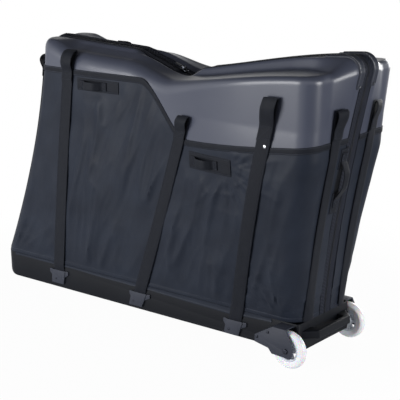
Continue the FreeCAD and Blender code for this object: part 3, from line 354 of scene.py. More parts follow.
# The first layer drifts between the two colours; the last one, or the weave, gives the bump, in mm with
# a strength. A layer is a texture, its size in mm and its detail. A wave is a pitch in mm and a direction.
finishes = {
    # Woven polyester with a coated back: plain weave, a faint sheen, colour that drifts with the dye.
    # Its threads are 0.6 mm apart and drawn at 3 mm, because finer ones would not show.
    "woven_polyester": {
        "colours": ("#171b25", "#2a303c"), "layers": (("TexNoise", 90, {"Detail": 5.0}),), "bump": (0.25, 0.35),
        "waves": ((3.0, "X"), (3.0, "Y")), "weave": "MULTIPLY",
        "sockets": {"Roughness": 0.5, "IOR": 1.5, "Specular IOR Level": 0.13, "Sheen Weight": 0.02}},
    # Woven nylon webbing: tight ribs across, flat sheen, slightly fuzzy. Ribs are 1.6 mm apart,
    # drawn at 3.2 mm so that they show.
    "nylon_webbing": {
        "colours": ("#15171e", "#1f2229"), "layers": (("TexNoise", 24, {"Detail": 4.0}),), "bump": (0.3, 0.5),
        "waves": ((3.2, "Y"), (5.0, "X")), "weave": "ADD",
        "sockets": {"Roughness": 0.6, "IOR": 1.53, "Specular IOR Level": 0.1, "Sheen Weight": 0.02}},
    # Padded zip band: diagonal knit over thin foam, dull and dark.
    "padded_knit": {
        "colours": ("#1b1d25", "#2a2d37"), "layers": (), "waves": ((5.0, "DIAGONAL"),), "bump": (0.5, 0.6),
        "sockets": {"Roughness": 0.7, "Specular IOR Level": 0.1}},
    # Thermoformed ABS: one satin skin with a fine moulded grain and soft wide highlights. The grain is drawn at
    # 2.4 mm, about twice its size, so that it shows.
    "thermoformed_abs": {
        "colours": ("#454958", "#4c505e"), "sockets": {"Roughness": 0.33, "IOR": 1.52, "Specular IOR Level": 0.5},
        "layers": (("TexNoise", 160, {"Detail": 3.0}), ("TexVoronoi", 2.4, {})), "bump": (0.12, 0.35)},
    # Injection-moulded polypropylene: dark, dull, spark-eroded grain of about 1.5 mm, drawn at 2 mm.
    "moulded_polypropylene": {
        "colours": ("#0c0e14", "#13161c"), "sockets": {"Roughness": 0.5, "Specular IOR Level": 0.15},
        "layers": (("TexNoise", 70, {"Detail": 4.0}), ("TexNoise", 2.0, {})), "bump": (0.2, 0.4)},
    # Glass-filled nylon for the brackets and plates: greyer, a little glossier, fine mottling.
    "glass_filled_nylon": {
        "colours": ("#32353f", "#3d404a"), "sockets": {"Roughness": 0.45, "Specular IOR Level": 0.2},
        "layers": (("TexNoise", 40, {"Detail": 5.0}), ("TexNoise", 2.2, {})), "bump": (0.18, 0.4)},
    # Cast polyurethane tyre: milky, slightly see-through, smooth from its mould.
    "cast_polyurethane": {
        "colours": ("#f4f6fb", "#fbfcff"), "layers": (("TexNoise", 14, {"Detail": 3.0}),), "bump": (0.15, 0.3),
        "sockets": {"Roughness": 0.28, "IOR": 1.5, "Subsurface Weight": 0.35, "Subsurface Scale": 0.008}},
    # Moulded polyamide wheel core: whitish, half-gloss, with faint flow marks.
    "moulded_polyamide": {
        "colours": ("#d0d5de", "#e4e8ee"), "sockets": {"Roughness": 0.34, "IOR": 1.53},
        "layers": (("TexNoise", 9, {"Detail": 4.0}),), "bump": (0.1, 0.3)},
    # Bonded nylon thread: round, slightly glossy, a shade paler than what it sews.
    "bonded_thread": {
        "colours": ("#3a3e49", "#4a4e59"), "sockets": {"Roughness": 0.5, "Specular IOR Level": 0.15},
        "layers": (("TexNoise", 6, {}),)}}
# Metals: steel with a black zinc coat, black nickel on the zip's castings, a bright eyelet and an
# anodised rail, with faint streaks from drawing or tumbling that break up their highlights.
for name, first, second, roughness, streak in (
        ("black_zinc_steel", "#2e3037", "#3e4048", 0.42, 3.0),
        ("black_nickel_zinc", "#3b3d43", "#595c63", 0.28, 2.0),
        ("bright_nickel_brass", "#c9cbd0", "#e2e4e8", 0.24, 2.0),
        ("anodised_aluminium", "#70747c", "#868a92", 0.42, 1.5)):
    finishes[name] = {"colours": (first, second), "sockets": {"Metallic": 1.0, "Roughness": roughness},
                      "layers": (("TexNoise", streak, {"Detail": 4.0}),), "bump": (0.05, 0.4),
                      "drawn": (0.08, 1.0, 1.0)}
# Closed-cell foam and brushed lining cloth inside the case: dull, with a pattern of small cells.
for name, first, second, roughness, cell in (("closed_cell_foam", "#1d1f26", "#2a2d35", 0.85, 6.0),
                                             ("lining_cloth", "#30333c", "#3d414b", 0.75, 4.0)):
    finishes[name] = {"colours": (first, second), "sockets": {"Roughness": roughness, "Specular IOR Level": 0.1},
                      "layers": (("TexVoronoi", cell, {}),), "bump": (0.5, 0.5)}
finish = {}
for name, look in finishes.items():
    finish[name], tree, shader = newMaterial(name, look["sockets"])
    spot = addNode(tree, "TexCoord").outputs["UV" if "waves" in look else "Object"]
    if "drawn" in look:
        spot = addNode(tree, "Mapping", {"Vector": spot}, {"Scale": look["drawn"]}).outputs["Vector"]
    values = []
    for kind, size, detail in look["layers"]:
        layer = addNode(tree, kind, {"Vector": spot}, {"Scale": perMm(size), **detail})
        values.append(layer.outputs["Distance" if kind == "TexVoronoi" else "Fac"])
    for pitch, way in look.get("waves", ()):
        wave = addNode(tree, "TexWave", {"Vector": spot}, {"Scale": bandsPerMm(pitch)}, bands_direction=way)
        values.append(wave.outputs["Fac"])
    if "weave" in look:
        crossed = addNode(tree, "Math", {0: values[-2], 1: values[-1]}, operation=look["weave"])
        values.append(crossed.outputs["Value"])
    mixedColour(tree, shader, values[0], look["colours"])
    if "bump" in look:
        bumped(tree, shader, values[-1], *look["bump"])
wovenPolyester, nylonWebbing = finish["woven_polyester"], finish["nylon_webbing"]
bondedThread = finish["bonded_thread"]
print("finishes ready")

# Mesh making: a heap gathers sheets, tubes and stitches that become one piece.


def newHeap():
    return {"points": [], "faces": [], "lengths": [], "paint": []}


def addSheet(heap, outer, inner, paint=0):
    # A closed sheet between two grids of the same size, with its lengths kept for the weave.
    columns, rows = len(outer), len(outer[0])
    start, middle = len(heap["points"]), rows // 2
    across = [0.0]
    for first, second in zip(outer, outer[1:]):
        across.append(across[-1] + (second[middle] - first[middle]).length / 1000)
    for grid in (outer, inner):
        for column, run in zip(grid, across):
            climbed, last = 0.0, column[0]
            for point in column:
                climbed += (point - last).length / 1000
                last = point
                heap["points"].append(point)
                heap["lengths"].append((run, climbed))
    back = columns * rows
    faces = []
    for c in range(columns - 1):
        for r in range(rows - 1):
            a, b = start + c * rows + r, start + (c + 1) * rows + r
            faces += [(a, b, b + 1, a + 1), (back + a, back + a + 1, back + b + 1, back + b)]
            border = ((a, b, r == 0), (b, b + 1, c == columns - 2), (b + 1, a + 1, r == rows - 2),
                      (a + 1, a, c == 0))
            faces += [(j, i, back + i, back + j) for i, j, open in border if open]
    heap["faces"] += faces
    heap["paint"] += [paint] * len(faces)


def ringAround(centre, forward, radius, count):
    side = forward.cross(Vector((0.3, 0.2, 1.0))).normalized()
    up = side.cross(forward)
    turns = [2 * math.pi * step / count for step in range(count)]
    return [centre + (side * math.cos(turn) + up * math.sin(turn)) * radius for turn in turns]


def addRings(heap, rings, paint, lengths=None):
    # A closed solid through rings of points.
    start, count = len(heap["points"]), len(rings[0])
    last = start + (len(rings) - 1) * count
    heap["points"] += [point for ring in rings for point in ring]
    heap["lengths"] += lengths or [(0.0, 0.0)] * (len(rings) * count)
    faces = [tuple(range(start, start + count))[::-1], tuple(range(last, last + count))]
    for ring in range(start, last, count):
        for step in range(count):
            after = (step + 1) % count
            faces.append((ring + step, ring + after, ring + count + after, ring + count + step))
    heap["faces"] += faces
    heap["paint"] += [paint] * len(faces)


def addTube(heap, line, radius, paint=0, sides=8):
    rings, lengths, run = [], [], 0.0
    for index, point in enumerate(line):
        ahead, behind = line[min(index + 1, len(line) - 1)], line[max(index - 1, 0)]
        run += (point - behind).length / 1000
        rings.append(ringAround(point, (ahead - behind).normalized(), radius, sides))
        lengths += [(2 * math.pi * radius * step / sides / 1000, run) for step in range(sides)]
    addRings(heap, rings, paint, lengths)


domeSection = ((1.0, -0.2), (1.0, 0.4), (0.82, 0.8), (0.45, 1.0), (0.05, 1.02))


def addDome(heap, centre, out, radius, height, paint=0):
    # A rivet's or eyelet's round head, standing on a face.
    rings = [ringAround(centre + out * height * rise, out, radius * share, 20) for share, rise in domeSection]
    addRings(heap, rings, paint)


stitch = {"pitch": 6.0, "length": 4.2, "width": 1.3, "rise": 0.8}


def addStitches(heap, line, outs, paint, pitch=stitch["pitch"]):
    # Short raised threads along a line; outs are the line's outward directions.
    count = max(int(lengthOf(line) / pitch), 1)
    spots, ways = evenly(line, 2 * count), evenly(outs, 2 * count) if len(outs) == len(line) else None
    for index in range(count):
        a, b = spots[2 * index], spots[2 * index + 1]
        forward = (b - a).normalized()
        out = (outs[0] if ways is None else ways[2 * index]).normalized()
        side = forward.cross(out).normalized() * stitch["width"] / 2
        half = forward * stitch["length"] / 2
        mid = (a + b) / 2
        start = len(heap["points"])
        low = mid - out * 0.3
        heap["points"] += [low - half - side, low + half - side, low + half + side, low - half + side,
                           mid - half * 0.6 + out * stitch["rise"], mid + half * 0.6 + out * stitch["rise"]]
        heap["lengths"] += [(0.0, 0.0)] * 6
        heap["faces"] += [tuple(start + i for i in face) for face in
                          ((3, 2, 1, 0), (0, 1, 5, 4), (2, 3, 4, 5), (1, 2, 5), (3, 0, 4))]
        heap["paint"] += [paint] * 5


def standing(point):
    turn = stance["turn"]
    x = point.x * math.cos(turn) + point.z * math.sin(turn) + stance["shiftX"]
    z = point.z * math.cos(turn) - point.x * math.sin(turn) + stance["shiftZ"]
    return Vector((x / 1000, point.y / 1000, z / 1000))


def finished(name, mesh, materials):
    for material in materials:
        mesh.materials.append(material)
    piece = bpy.data.objects.new(name, mesh)
    bpy.context.scene.collection.objects.link(piece)
    return piece


def smoothed(work, mesh, sharpAngle):
    # Shades everything smooth apart from edges sharper than the angle, in degrees.
    bmesh.ops.recalc_face_normals(work, faces=work.faces)
    for face in work.faces:
        face.smooth = True
    for edge in work.edges:
        edge.smooth = not edge.is_manifold or edge.calc_face_angle(0.0) < math.radians(sharpAngle)
    work.to_mesh(mesh)
    work.free()


def makePiece(name, heap, materials, mirrored=False):
    mesh = bpy.data.meshes.new(name)
    points = [Vector((p.x, -p.y, p.z)) if mirrored else p for p in heap["points"]]
    mesh.from_pydata([standing(point) for point in points], [], heap["faces"])
    mesh.polygons.foreach_set("material_index", heap["paint"])
    lengths = mesh.uv_layers.new(name="lengths")
    lengths.data.foreach_set("uv", [part for loop in mesh.loops for part in heap["lengths"][loop.vertex_index]])
    work = bmesh.new()
    work.from_mesh(mesh)
    bmesh.ops.delete(work, geom=[v for v in work.verts if not v.link_faces], context="VERTS")
    smoothed(work, mesh, 50)
    return finished(name, mesh, materials)


def onBothHalves(name, heap, materials, slotName, *nodes):
    # The near piece and its mirror image, each riding on its own half.
    made = []
    for side in ("near", "far"):
        piece = makePiece(side + "_" + name, heap, materials, side == "far")
        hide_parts(*[side + "_" + node for node in nodes])
        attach(piece, side + "_half")
        made.append(piece)
    return made


def foldedAtHinge(piece):
    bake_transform(piece)


def softened(node, body, width, materials):
    # A copy of a hard node with its sharp edges rounded off.
    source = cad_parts[node].data
    work = bmesh.new()
    spots = [work.verts.new(vertex.co) for vertex in source.vertices]
    for polygon in source.polygons:
        work.faces.new([spots[index] for index in polygon.vertices])
    bmesh.ops.remove_doubles(work, verts=work.verts, dist=2e-6)
    bmesh.ops.dissolve_limit(work, angle_limit=math.radians(0.1), verts=work.verts, edges=work.edges)
    sharp = [e for e in work.edges if e.is_manifold and e.calc_face_angle(0.0) > math.radians(32)]
    bmesh.ops.bevel(work, geom=sharp, offset=width / 1000, segments=3, profile=0.5, affect="EDGES",
                    clamp_overlap=True)
    mesh = bpy.data.meshes.new(node + "_moulded")
    smoothed(work, mesh, 36)
    piece = finished(node + "_moulded", mesh, materials)
    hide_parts(node)
    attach(piece, body)
    return piece


def smoothLine(corners, count):
    # A smooth line through two-number corners, as evenly spaced pairs.
    spots = [Vector((a, b, 0)) for a, b in corners]
    ends = [spots[0] * 2 - spots[1]] + spots + [spots[-1] * 2 - spots[-2]]
    line = []
    for p, q, r, s in zip(ends, ends[1:], ends[2:], ends[3:]):
        for t in spread(0.0, 1.0, 12)[:-1]:
            line.append(0.5 * (2 * q + (r - p) * t + (2 * p - 5 * q + 4 * r - s) * t * t
                               + (3 * q - p - 3 * r + s) * t ** 3))
    return [(v.x, v.y) for v in evenly(line + [spots[-1]], count)]


def addWebbing(heap, place, line, half, thick, paint=0):
    # Flat woven tape along a line of (distance, height off the wall); place gives the case point.
    shares = (-1.0, -0.93, -0.6, -0.2, 0.2, 0.6, 0.93, 1.0)
    swell = (0.3, 0.8, 1.0, 1.0, 1.0, 1.0, 0.8, 0.3)
    outer, inner = [], []
    for share, full in zip(shares, swell):
        tops, lows = [], []
        for index, (s, out) in enumerate(line):
            behind, ahead = line[max(index - 1, 0)], line[min(index + 1, len(line) - 1)]
            ds, dOut = ahead[0] - behind[0], ahead[1] - behind[1]
            run = math.hypot(ds, dOut) or 1.0
            offS, offOut = -dOut / run * thick / 2 * full, ds / run * thick / 2 * full
            tops.append(place(share * half, s + offS, out + offOut))
            lows.append(place(share * half, s - offS, out - offOut))
        outer.append(tops)
        inner.append(lows)
    addSheet(heap, outer, inner, paint)


def sewnLine(heap, place, corners, out, paint, pitch=stitch["pitch"]):
    for (a, s), (b, t) in zip(corners, corners[1:]):
        count = max(int(math.hypot(b - a, t - s) / 4), 2)
        pairs = [(a + (b - a) * k / count, s + (t - s) * k / count) for k in range(count + 1)]
        line = [place(u, v, out) for u, v in pairs]
        outs = [place(u, v, out + 1.0) - place(u, v, out) for u, v in pairs]
        addStitches(heap, line, outs, paint, pitch)


def sewnBox(heap, place, half, low, high, out, paint):
    box = [(-half, low), (half, low), (half, high), (-half, high), (-half, low)]
    sewnLine(heap, place, box, out, paint)
    sewnLine(heap, place, [(-half, low), (half, high)], out, paint)
    sewnLine(heap, place, [(half, low), (-half, high)], out, paint)


# Straps' places: foot and top as shares of the length, then drops from the crest to the top and the fold's end.
straps = {"front": (0.222, 0.296, 26, 110), "middle": (0.520, 0.702, 158, 226), "rear": (0.825, 0.979, 68, 186)}


def strapX(name, z):
    foot, top, drop, fold = straps[name]
    return along(foot + (top - foot) * (z - case.seam) / (case.crest - drop - case.seam))


# Fabric walls: slack between the straps, drawn tight at foot, binding and straps.
wall = {"thick": 1.6, "billow": 4.0, "crease": 10.5, "hem": 2.4, "under": 6.0, "seam": 11.0, "middle": 600.0}
# Creases gather about the nose's foot, the middle handle and the wheel: place, reach and rays.
gathers = ((30.0, 90.0, 210.0, 3.2), (1000.0, 540.0, 150.0, 4.0), (1120.0, 130.0, 170.0, 4.4))
# Side handles: middle, then the loop's and the patch's ends from it and the patch's half height.
sideHandles = {"front": (470.0, 708.0, (-72, 38), (-85, 85), 18),
               "middle": (916.3, 543.0, (-60, 46), (-69, 95), 24)}


def creased(across, lengthwise, seed, sharp):
    return (1 - abs(noise.noise(Vector((across, lengthwise, seed))))) ** sharp


def folds(x, z):
    acrossLean, alongLean = x * 0.92 - z * 0.38, x * 0.38 + z * 0.92
    patch = 0.35 + 1.1 * eased(noise.noise(Vector((x / 170, z / 150, 5.3))) + 0.5)
    height = 0.7 * creased(acrossLean / 74, alongLean / 330, 3.7, 3) * patch - 0.3
    height += 0.2 * creased(acrossLean / 30, alongLean / 150, 9.1, 4) * patch
    for middleX, middleZ, reach, rays in gathers:
        away = math.hypot(x - middleX, z - middleZ)
        near = eased(away / 40) * math.exp(-(away / reach) ** 2)
        turn = math.atan2(z - middleZ, x - middleX)
        height += near * (0.6 * creased(turn * rays, away / 240, middleX, 4) - 0.36)
        height += near * 0.3 * creased(away / 34, turn * 1.2, middleX + 0.5, 4)
    return height


def slack(x, z, top):
    share = (z - case.seam) / (top - case.seam)
    loose = eased(share / 0.10) * eased((1 - share) / 0.08) * (1 - 0.75 * eased((x - along(0.95)) / 90))
    loose *= 0.25 + 0.75 * eased((x - noseX(z)) / 110)
    for middleX, middleZ, _, (first, last), halfZ in sideHandles.values():
        beyondX = max(abs(x - middleX - (first + last) / 2) - (last - first) / 2, 0.0)
        beyondZ = max(abs(z - middleZ) - halfZ, 0.0)
        loose *= 1 - 0.98 * math.exp(-(beyondX / 24) ** 2 - (beyondZ / 24) ** 2)
    for name in straps:
        loose *= 1 - 0.93 * math.exp(-((x - strapX(name, z)) / 30) ** 2)
    billow = noise.noise(Vector((x / 190, z / 210, 1.3))) * 0.5 + 0.6
    return loose * (wall["billow"] * billow + wall["crease"] * folds(x, z))


wallStations = stationsOf(10, 12, 170, 14, 8)
outer, inner = [], []
for station in wallStations:
    top = stationBinding(station) + wall["under"]
    front, back = [], []
    for z in spread(case.seam, top, 96):
        base = planPoint(station, z)
        out = slack(base.x, z, top)
        hem = wall["hem"] * math.exp(-((z - case.seam - 4) / 3.2) ** 2)
        front.append(planPoint(station, z, -out - hem))
        back.append(planPoint(station, z, wall["thick"] - out))
    outer.append(front)
    inner.append(back)
heap = newHeap()
addSheet(heap, outer, inner)
seamZ = case.seam + wall["seam"]
line = [planPoint(s, seamZ, -slack(planPoint(s, seamZ).x, seamZ, 640) - 0.3) for s in wallStations]
addStitches(heap, line, [planPoint(s, seamZ, -1.0) - planPoint(s, seamZ) for s in wallStations], 1)
for half in ("near", "far"):
    piece = makePiece(half + "_wall_fabric", heap, [wovenPolyester, bondedThread], half == "far")
    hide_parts(half + "_side_panel")
    foldedAtHinge(piece)
# The cut leans towards the tail, so each row's run is measured on either side of the middle.
tailParts, noseParts = [], []
for row in zip(*outer):
    turn = next(index for index, spot in enumerate(row) if spot.x < wall["middle"])
    tailParts.append(lengthOf(row[:turn + 1]) - wall["middle"] + row[turn].x)
    noseParts.append(lengthOf(row[turn:]) + wall["middle"] - row[turn].x)

# The walls' feet hang over the tub's rim as a sewn hem, longer towards the wheels.
hem = {"edge": ((150, 112), (350, 112), (500, 108), (650, 108), (950, 100), (1080, 108)),
       "first": 56.0, "last": 1100.0}
hemSection = ((0.0, 0.3), (0.04, 1.9), (0.14, 2.5), (0.26, 1.7), (0.5, 1.3), (0.8, 1.3), (1.0, 1.5))
heap = newHeap()
outer, inner, line = [], [], []
for x in spread(hem["first"], hem["last"], 170):
    low = between(x, hem["edge"]) + 0.8 * noise.noise(Vector((x / 60, 0.4, 2.2)))
    outer.append([Vector((x, -case.baseHalf - out, low + (case.tubTop - 0.3 - low) * share))
                  for share, out in hemSection])
    inner.append([Vector((spot.x, -case.baseHalf - 0.25, spot.z)) for spot in outer[-1]])
    line.append(Vector((x, -case.baseHalf - 1.4, low + 5.0)))
addSheet(heap, outer, inner)
addStitches(heap, line, [Vector((0, -1, 0))], 1)
for side in ("near", "far"):
    piece = makePiece(side + "_foot_hem", heap, [wovenPolyester, bondedThread], side == "far")
    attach(piece, "base")
print("hems ready")

# Hard shells: wall, rounded shoulder, ledge and zip ridge in one sheet.
shell = {"wall": 3.5}


def rimTarget(station, z):
    kind, share = station
    rear, front = tailRound(z)[1] - 40, noseRound(z)[1] + 40
    if kind == "tailEnd":
        return rear - 30 * share * 5 / 12
    if kind == "tailTurn":
        return rear - 30 * (1 + share) / 2
    if kind == "side":
        return rear - 30 + share * (front - rear + 60)
    if kind == "noseTurn":
        return front + 30 * (1 - share / 2)
    return front + 30 * (1 - share) / 2


def shellColumn(station, inset):
    edge, radius = shoulderStart(station, inset)
    low = stationBinding(station, inset) + 0.3
    line = [planPoint(station, z, inset) for z in spread(low, edge.z, 30)[:-1]]
    reach = Vector((rimTarget(station, edge.z) - edge.x, -case.shellEdge - edge.y, 0))
    inward = reach.normalized()
    for turn in spread(0.0, math.pi / 2, 30)[:-1]:
        spot = edge + inward * radius * (1 - math.cos(turn))
        line.append(Vector((spot.x, spot.y, topZ(spot.x, spot.y, inset) - radius * (1 - math.sin(turn)))))
    start = edge + inward * radius
    for share in spread(0.0, 1.0, 44):
        spot = start + (reach - inward * radius) * share
        line.append(Vector((spot.x, spot.y, topZ(spot.x, spot.y, inset))))
    return evenly(line, 74)


shellStations = stationsOf(14, 14, 120, 14, 8)
outer = [shellColumn(station, 0.0) for station in shellStations]
inner = [shellColumn(station, shell["wall"]) for station in shellStations]
heap = newHeap()
addSheet(heap, outer, inner)
onBothHalves("hard_shell", heap, [finish["thermoformed_abs"]], "shell", "shell")
print("shells ready")

# Binding tape over the joint of shell and fabric, sewn along both edges.
binding = {"half": 9.0, "inner": 0.4, "outer": 2.6, "edge": 1.2, "sewn": 0.7}
heap = newHeap()
shares = (-1.0, -0.85, -0.4, 0.0, 0.4, 0.85, 1.0)
bindingLine = [(station, stationBinding(station)) for station in stationsOf(8, 10, 150, 12, 6)]


def onBinding(spot, share, inset):
    station, z = spot
    return planPoint(station, z + share * binding["half"], inset)


rounded = {share: binding["edge"] * abs(share) ** 3 - binding["outer"] for share in shares}
outer = gridOf(bindingLine, shares, lambda spot, share: onBinding(spot, share, rounded[share]))
inner = gridOf(bindingLine, shares, lambda spot, share: onBinding(spot, share, -binding["inner"]))
addSheet(heap, outer, inner)
for share in (-binding["sewn"], binding["sewn"]):
    line = [onBinding(spot, share, 0.3 - binding["outer"]) for spot in bindingLine]
    outs = [onBinding(spot, share, -5.0) - onBinding(spot, share, 0.0) for spot in bindingLine]
    addStitches(heap, line, outs, 1)
onBothHalves("binding_tape", heap, [nylonWebbing, bondedThread], "webbing", "shell_binding")
print("bindings ready")

# Zip bands: padded knit with a coil of teeth, and piping along its outer edge. The band bulges
# where it turns over the nose's upper edge.
band = {"low": 2.4, "piping": 1.3, "toothPitch": 4.0, "tooth": 3.2, "bulge": 6.5, "bulgeX": 217.0,
        "bulgeRun": 17.0}
section = ((0.4, 0.2), (1.2, 0.3), (4.6, 0.3), (6.0, 0.4), (9.0, 0.9), (15.0, 1.0), (22.0, 0.9), (26.0, 0.6),
           (case.bandEdge, 0.1))
path = zipLine(0.0)
outs = [(a - b).normalized() for a, b in zip(zipLine(-2.0), path)]


def onBand(y, rise):
    # The line beside the zip at a distance from its middle, at a height above the rim.
    line = []
    for p, n in zip(path, outs):
        swell = math.exp(-((p.x - band["bulgeX"]) / band["bulgeRun"]) ** 2) if p.z > case.crest - 30 else 0.0
        line.append(Vector((p.x, -y, p.z)) + n * (rise + band["bulge"] * swell * (1 - (y / case.bandEdge) ** 2)))
    return line


heap = newHeap()
addSheet(heap, [onBand(y, rise) for y, rise in section], [onBand(y, -band["low"]) for y, rise in section], 0)
addTube(heap, onBand(25.9, 0.7), band["piping"], 1)
addStitches(heap, onBand(21.5, 0.9), outs, 2)
path = onBand(0.0, 0.0)
teeth = evenly(path, int(lengthOf(path) / band["toothPitch"]))
toothOuts = evenly(outs, len(teeth) - 1)
for spot, out in zip(teeth, toothOuts):
    out = out.normalized()
    ahead = Vector((0, 1, 0)).cross(out) * band["tooth"] / 2
    rings = []
    for y, rise in ((0.5, 0.8), (2.4, 1.3), (4.6, 0.6)):
        base = Vector((spot.x, -y, spot.z))
        rings.append([base + ahead * share + out * level
                      for share, level in ((-1, 0.2), (-0.4, rise), (0.4, rise), (1, 0.2))])
    addRings(heap, rings, 3)
bandMaterials = [finish["padded_knit"], nylonWebbing, bondedThread, finish["moulded_polypropylene"]]
onBothHalves("zip_band", heap, bandMaterials, "zip_tape", "zip_tape")
print("zip ready")

# Corner guards: moulded strips with two raised beads beside the zip, round at the foot and riveted there.
guard = {"start": along(1.022), "end": case.crest - 62, "middle": 33.0, "round": 12.0, "rivet": 4.4}
guardSection = ((-13.0, 0.8), (-12.5, 3.6), (-10.6, 5.2), (-8.4, 4.8), (-6.8, 3.1), (0.0, 2.8), (6.6, 3.1),
                (8.2, 4.8), (10.4, 5.2), (12.2, 3.6), (12.7, 0.2))
fineLine = zipLine(0.0, 1400)
rows = [(p, (q - p).normalized()) for p, q in zip(fineLine, zipLine(-2.0, 1400))
        if p.x > guard["start"] and p.z > guard["end"]]


def onGuard(across, rise, row):
    p, out = row
    atFoot = p.x > tailX - 60 and p.z < case.crest - 30
    tuck = min((p.z - guard["end"]) / guard["round"], 1.0) if atFoot else 1.0
    narrow = math.sqrt(max(1 - (1 - tuck) ** 2, 0.02))
    return Vector((p.x, -guard["middle"] - across * narrow, p.z)) + out * rise


heap = newHeap()
addSheet(heap, gridOf(guardSection, rows, lambda corner, row: onGuard(*corner, row)),
         gridOf(guardSection, rows, lambda corner, row: onGuard(corner[0], -0.4, row)))
foot, out = min(rows, key=lambda row: abs(row[0].z - guard["end"] - 9))
addDome(heap, Vector((foot.x, -guard["middle"], foot.z)) + out * 2.6, out, guard["rivet"], 2.2, 1)
onBothHalves("ridge_guard", heap, [finish["glass_filled_nylon"], finish["black_nickel_zinc"]],
             "hardware", "corner_guard")
print("guards ready")

# Webbing straps: from the tub's plates up over the wall, doubled into a loop at the top.
webbing = {"half": 22.5, "endHalf": 18.0, "thick": 2.4, "off": 5.0, "tubOff": 1.6, "hemOff": 5.0,
           "loop": 13.0, "frontLift": 8.0, "plates": {"front": 98.0, "middle": 94.0, "rear": 87.0}}


def strapPath(top, foldEnd, loop, low=None, foot=None, lift=0.0):
    # Heights and distances off the wall: up the wall, round the loop and down to the fold's end.
    off = webbing["off"]
    corners = []
    if low is not None:
        corners += [(low, webbing["tubOff"]), (low + 34, webbing["tubOff"]), (low + 43, webbing["tubOff"] + 1.4)]
        corners += [(case.tubTop - 2, webbing["hemOff"]), (case.tubTop + 16, off), (case.tubTop + 50, off)]
    else:
        corners += [(foot, off), (foot + 40, off)]
    straight = corners[-1][0]
    corners += [(z, off) for z in spread(straight, top - 12, 8)[1:]]
    corners += [(top - 3 + lift * 0.6, off + 1.0 + lift * 0.5), (top + 0.5 + lift, off + 3.0 + lift * 0.8),
                (top - 3 + lift, off + 4.5 + loop * 0.35 + lift * 0.8)]
    span = top - foldEnd
    corners += [(top - span * 0.22, off + 3.6 + loop * 0.85), (top - span * 0.42, off + 3.6 + loop * 0.55),
                (top - span * 0.62, off + 3.6), (top - span * 0.8, off + 3.0), (foldEnd, off + 2.9)]
    return smoothLine(corners, 130)


for name, (foot, top, drop, fold) in straps.items():
    topZone, foldEnd = case.crest - drop, case.crest - fold
    heap = newHeap()

    def onSide(across, z, out, name=name):
        if z < case.tubTop:
            return Vector((strapX(name, z) + across, -case.baseHalf - out, z))
        return sidePoint(strapX(name, z) + across, z, -out)

    rope = strapPath(topZone, foldEnd, webbing["loop"], webbing["plates"][name] - 34,
                     lift=webbing["frontLift"] if name == "front" else 0.0)
    addWebbing(heap, onSide, rope, webbing["half"], webbing["thick"])
    high = foldEnd + (topZone - foldEnd) * 0.34
    sewnBox(heap, onSide, 17.0, foldEnd + 5, high, webbing["off"] + 4.0, 1)
    for side in (-1, 1):
        sewnLine(heap, onSide, [(side * 19.0, 130), (side * 19.0, foldEnd - 4)], webbing["off"] + 1.1, 1)
    if name == "rear":
        eyelet = onSide(8.0, foldEnd - 15, webbing["off"] + 1.2)
        addDome(heap, eyelet, (onSide(8.0, foldEnd - 15, 20.0) - eyelet).normalized(), 5.0, 1.8, 2)
    for half in ("near", "far"):
        piece = makePiece(half + "_" + name + "_strap", heap,
                          [nylonWebbing, bondedThread, finish["bright_nickel_brass"]], half == "far")
        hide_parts(half + "_strap_" + name, half + "_strap_folds", "strap_tails")
        foldedAtHinge(piece)
    print("strap", name)

# Straps up both ends of each half.
heap = newHeap()


def onTail(across, z, out):
    return tailPoint(80 + 6.1 * (z - case.seam) / 596 + across, z, -out)


def onNose(across, z, out):
    return nosePoint(76.3 - 2.5 * (z - case.seam) / 656 + across, z, -out)


for place, topZone, foldEnd, loop in ((onTail, case.crest - 106, case.crest - 186, 7.0),
                                      (onNose, case.crest - 46, case.crest - 112, 15.0)):
    rope = strapPath(topZone, foldEnd, loop, None, case.seam + 2)
    addWebbing(heap, place, rope, webbing["endHalf"], webbing["thick"])
    sewnBox(heap, place, 12.0, foldEnd + 5, foldEnd + (topZone - foldEnd) * 0.34, webbing["off"] + 4.0, 1)
onBothHalves("end_strapping", heap, [nylonWebbing, bondedThread], "webbing", "end_straps", "strap_folds")
print("end straps ready")

# Handles: doubled webbing on sewn patches.
handle = {"half": 12.5, "thick": 3.0, "rise": 19.0, "patch": 2.0, "lift": 0.3}
tailHandle = {"y": 32.0, "lift": 1.6, "half": 18, "patches": ((422, 482), (548, 604)), "loop": (440, 592)}


def patchOn(heap, place, half, low, high, lift):
    shares, lines = spread(-1.0, 1.0, 6), spread(low, high, 12)
    thick = {share: handle["patch"] * (1 - 0.6 * abs(share) ** 6) for share in shares}
    addSheet(heap, gridOf(shares, lines, lambda share, s: place(share * half, s, lift + thick[share])),
             gridOf(shares, lines, lambda share, s: place(share * half, s, lift)), 2)
    edge = half - 3.5
    box = [(-edge, low + 4), (edge, low + 4), (edge, high - 4), (-edge, high - 4), (-edge, low + 4)]
    sewnLine(heap, place, box, lift + handle["patch"] - 0.2, 1)


def loopOn(heap, place, low, high, lift):
    span = high - low
    base = lift + handle["patch"] + handle["thick"] / 2
    shape = ((0.0, 0.0), (0.14, 0.0), (0.24, 0.45), (0.36, 0.92), (0.5, 1.0), (0.64, 0.92), (0.76, 0.45),
             (0.86, 0.0), (1.0, 0.0))
    corners = [(low + span * share, base + handle["rise"] * lifted) for share, lifted in shape]
    addWebbing(heap, place, smoothLine(corners, 60), handle["half"], handle["thick"])
    for start, end in ((low + 2, low + span * 0.13), (high - span * 0.13, high - 2)):
        sewnBox(heap, place, handle["half"] - 3, start, end, base + handle["thick"] / 2 - 0.2, 1)


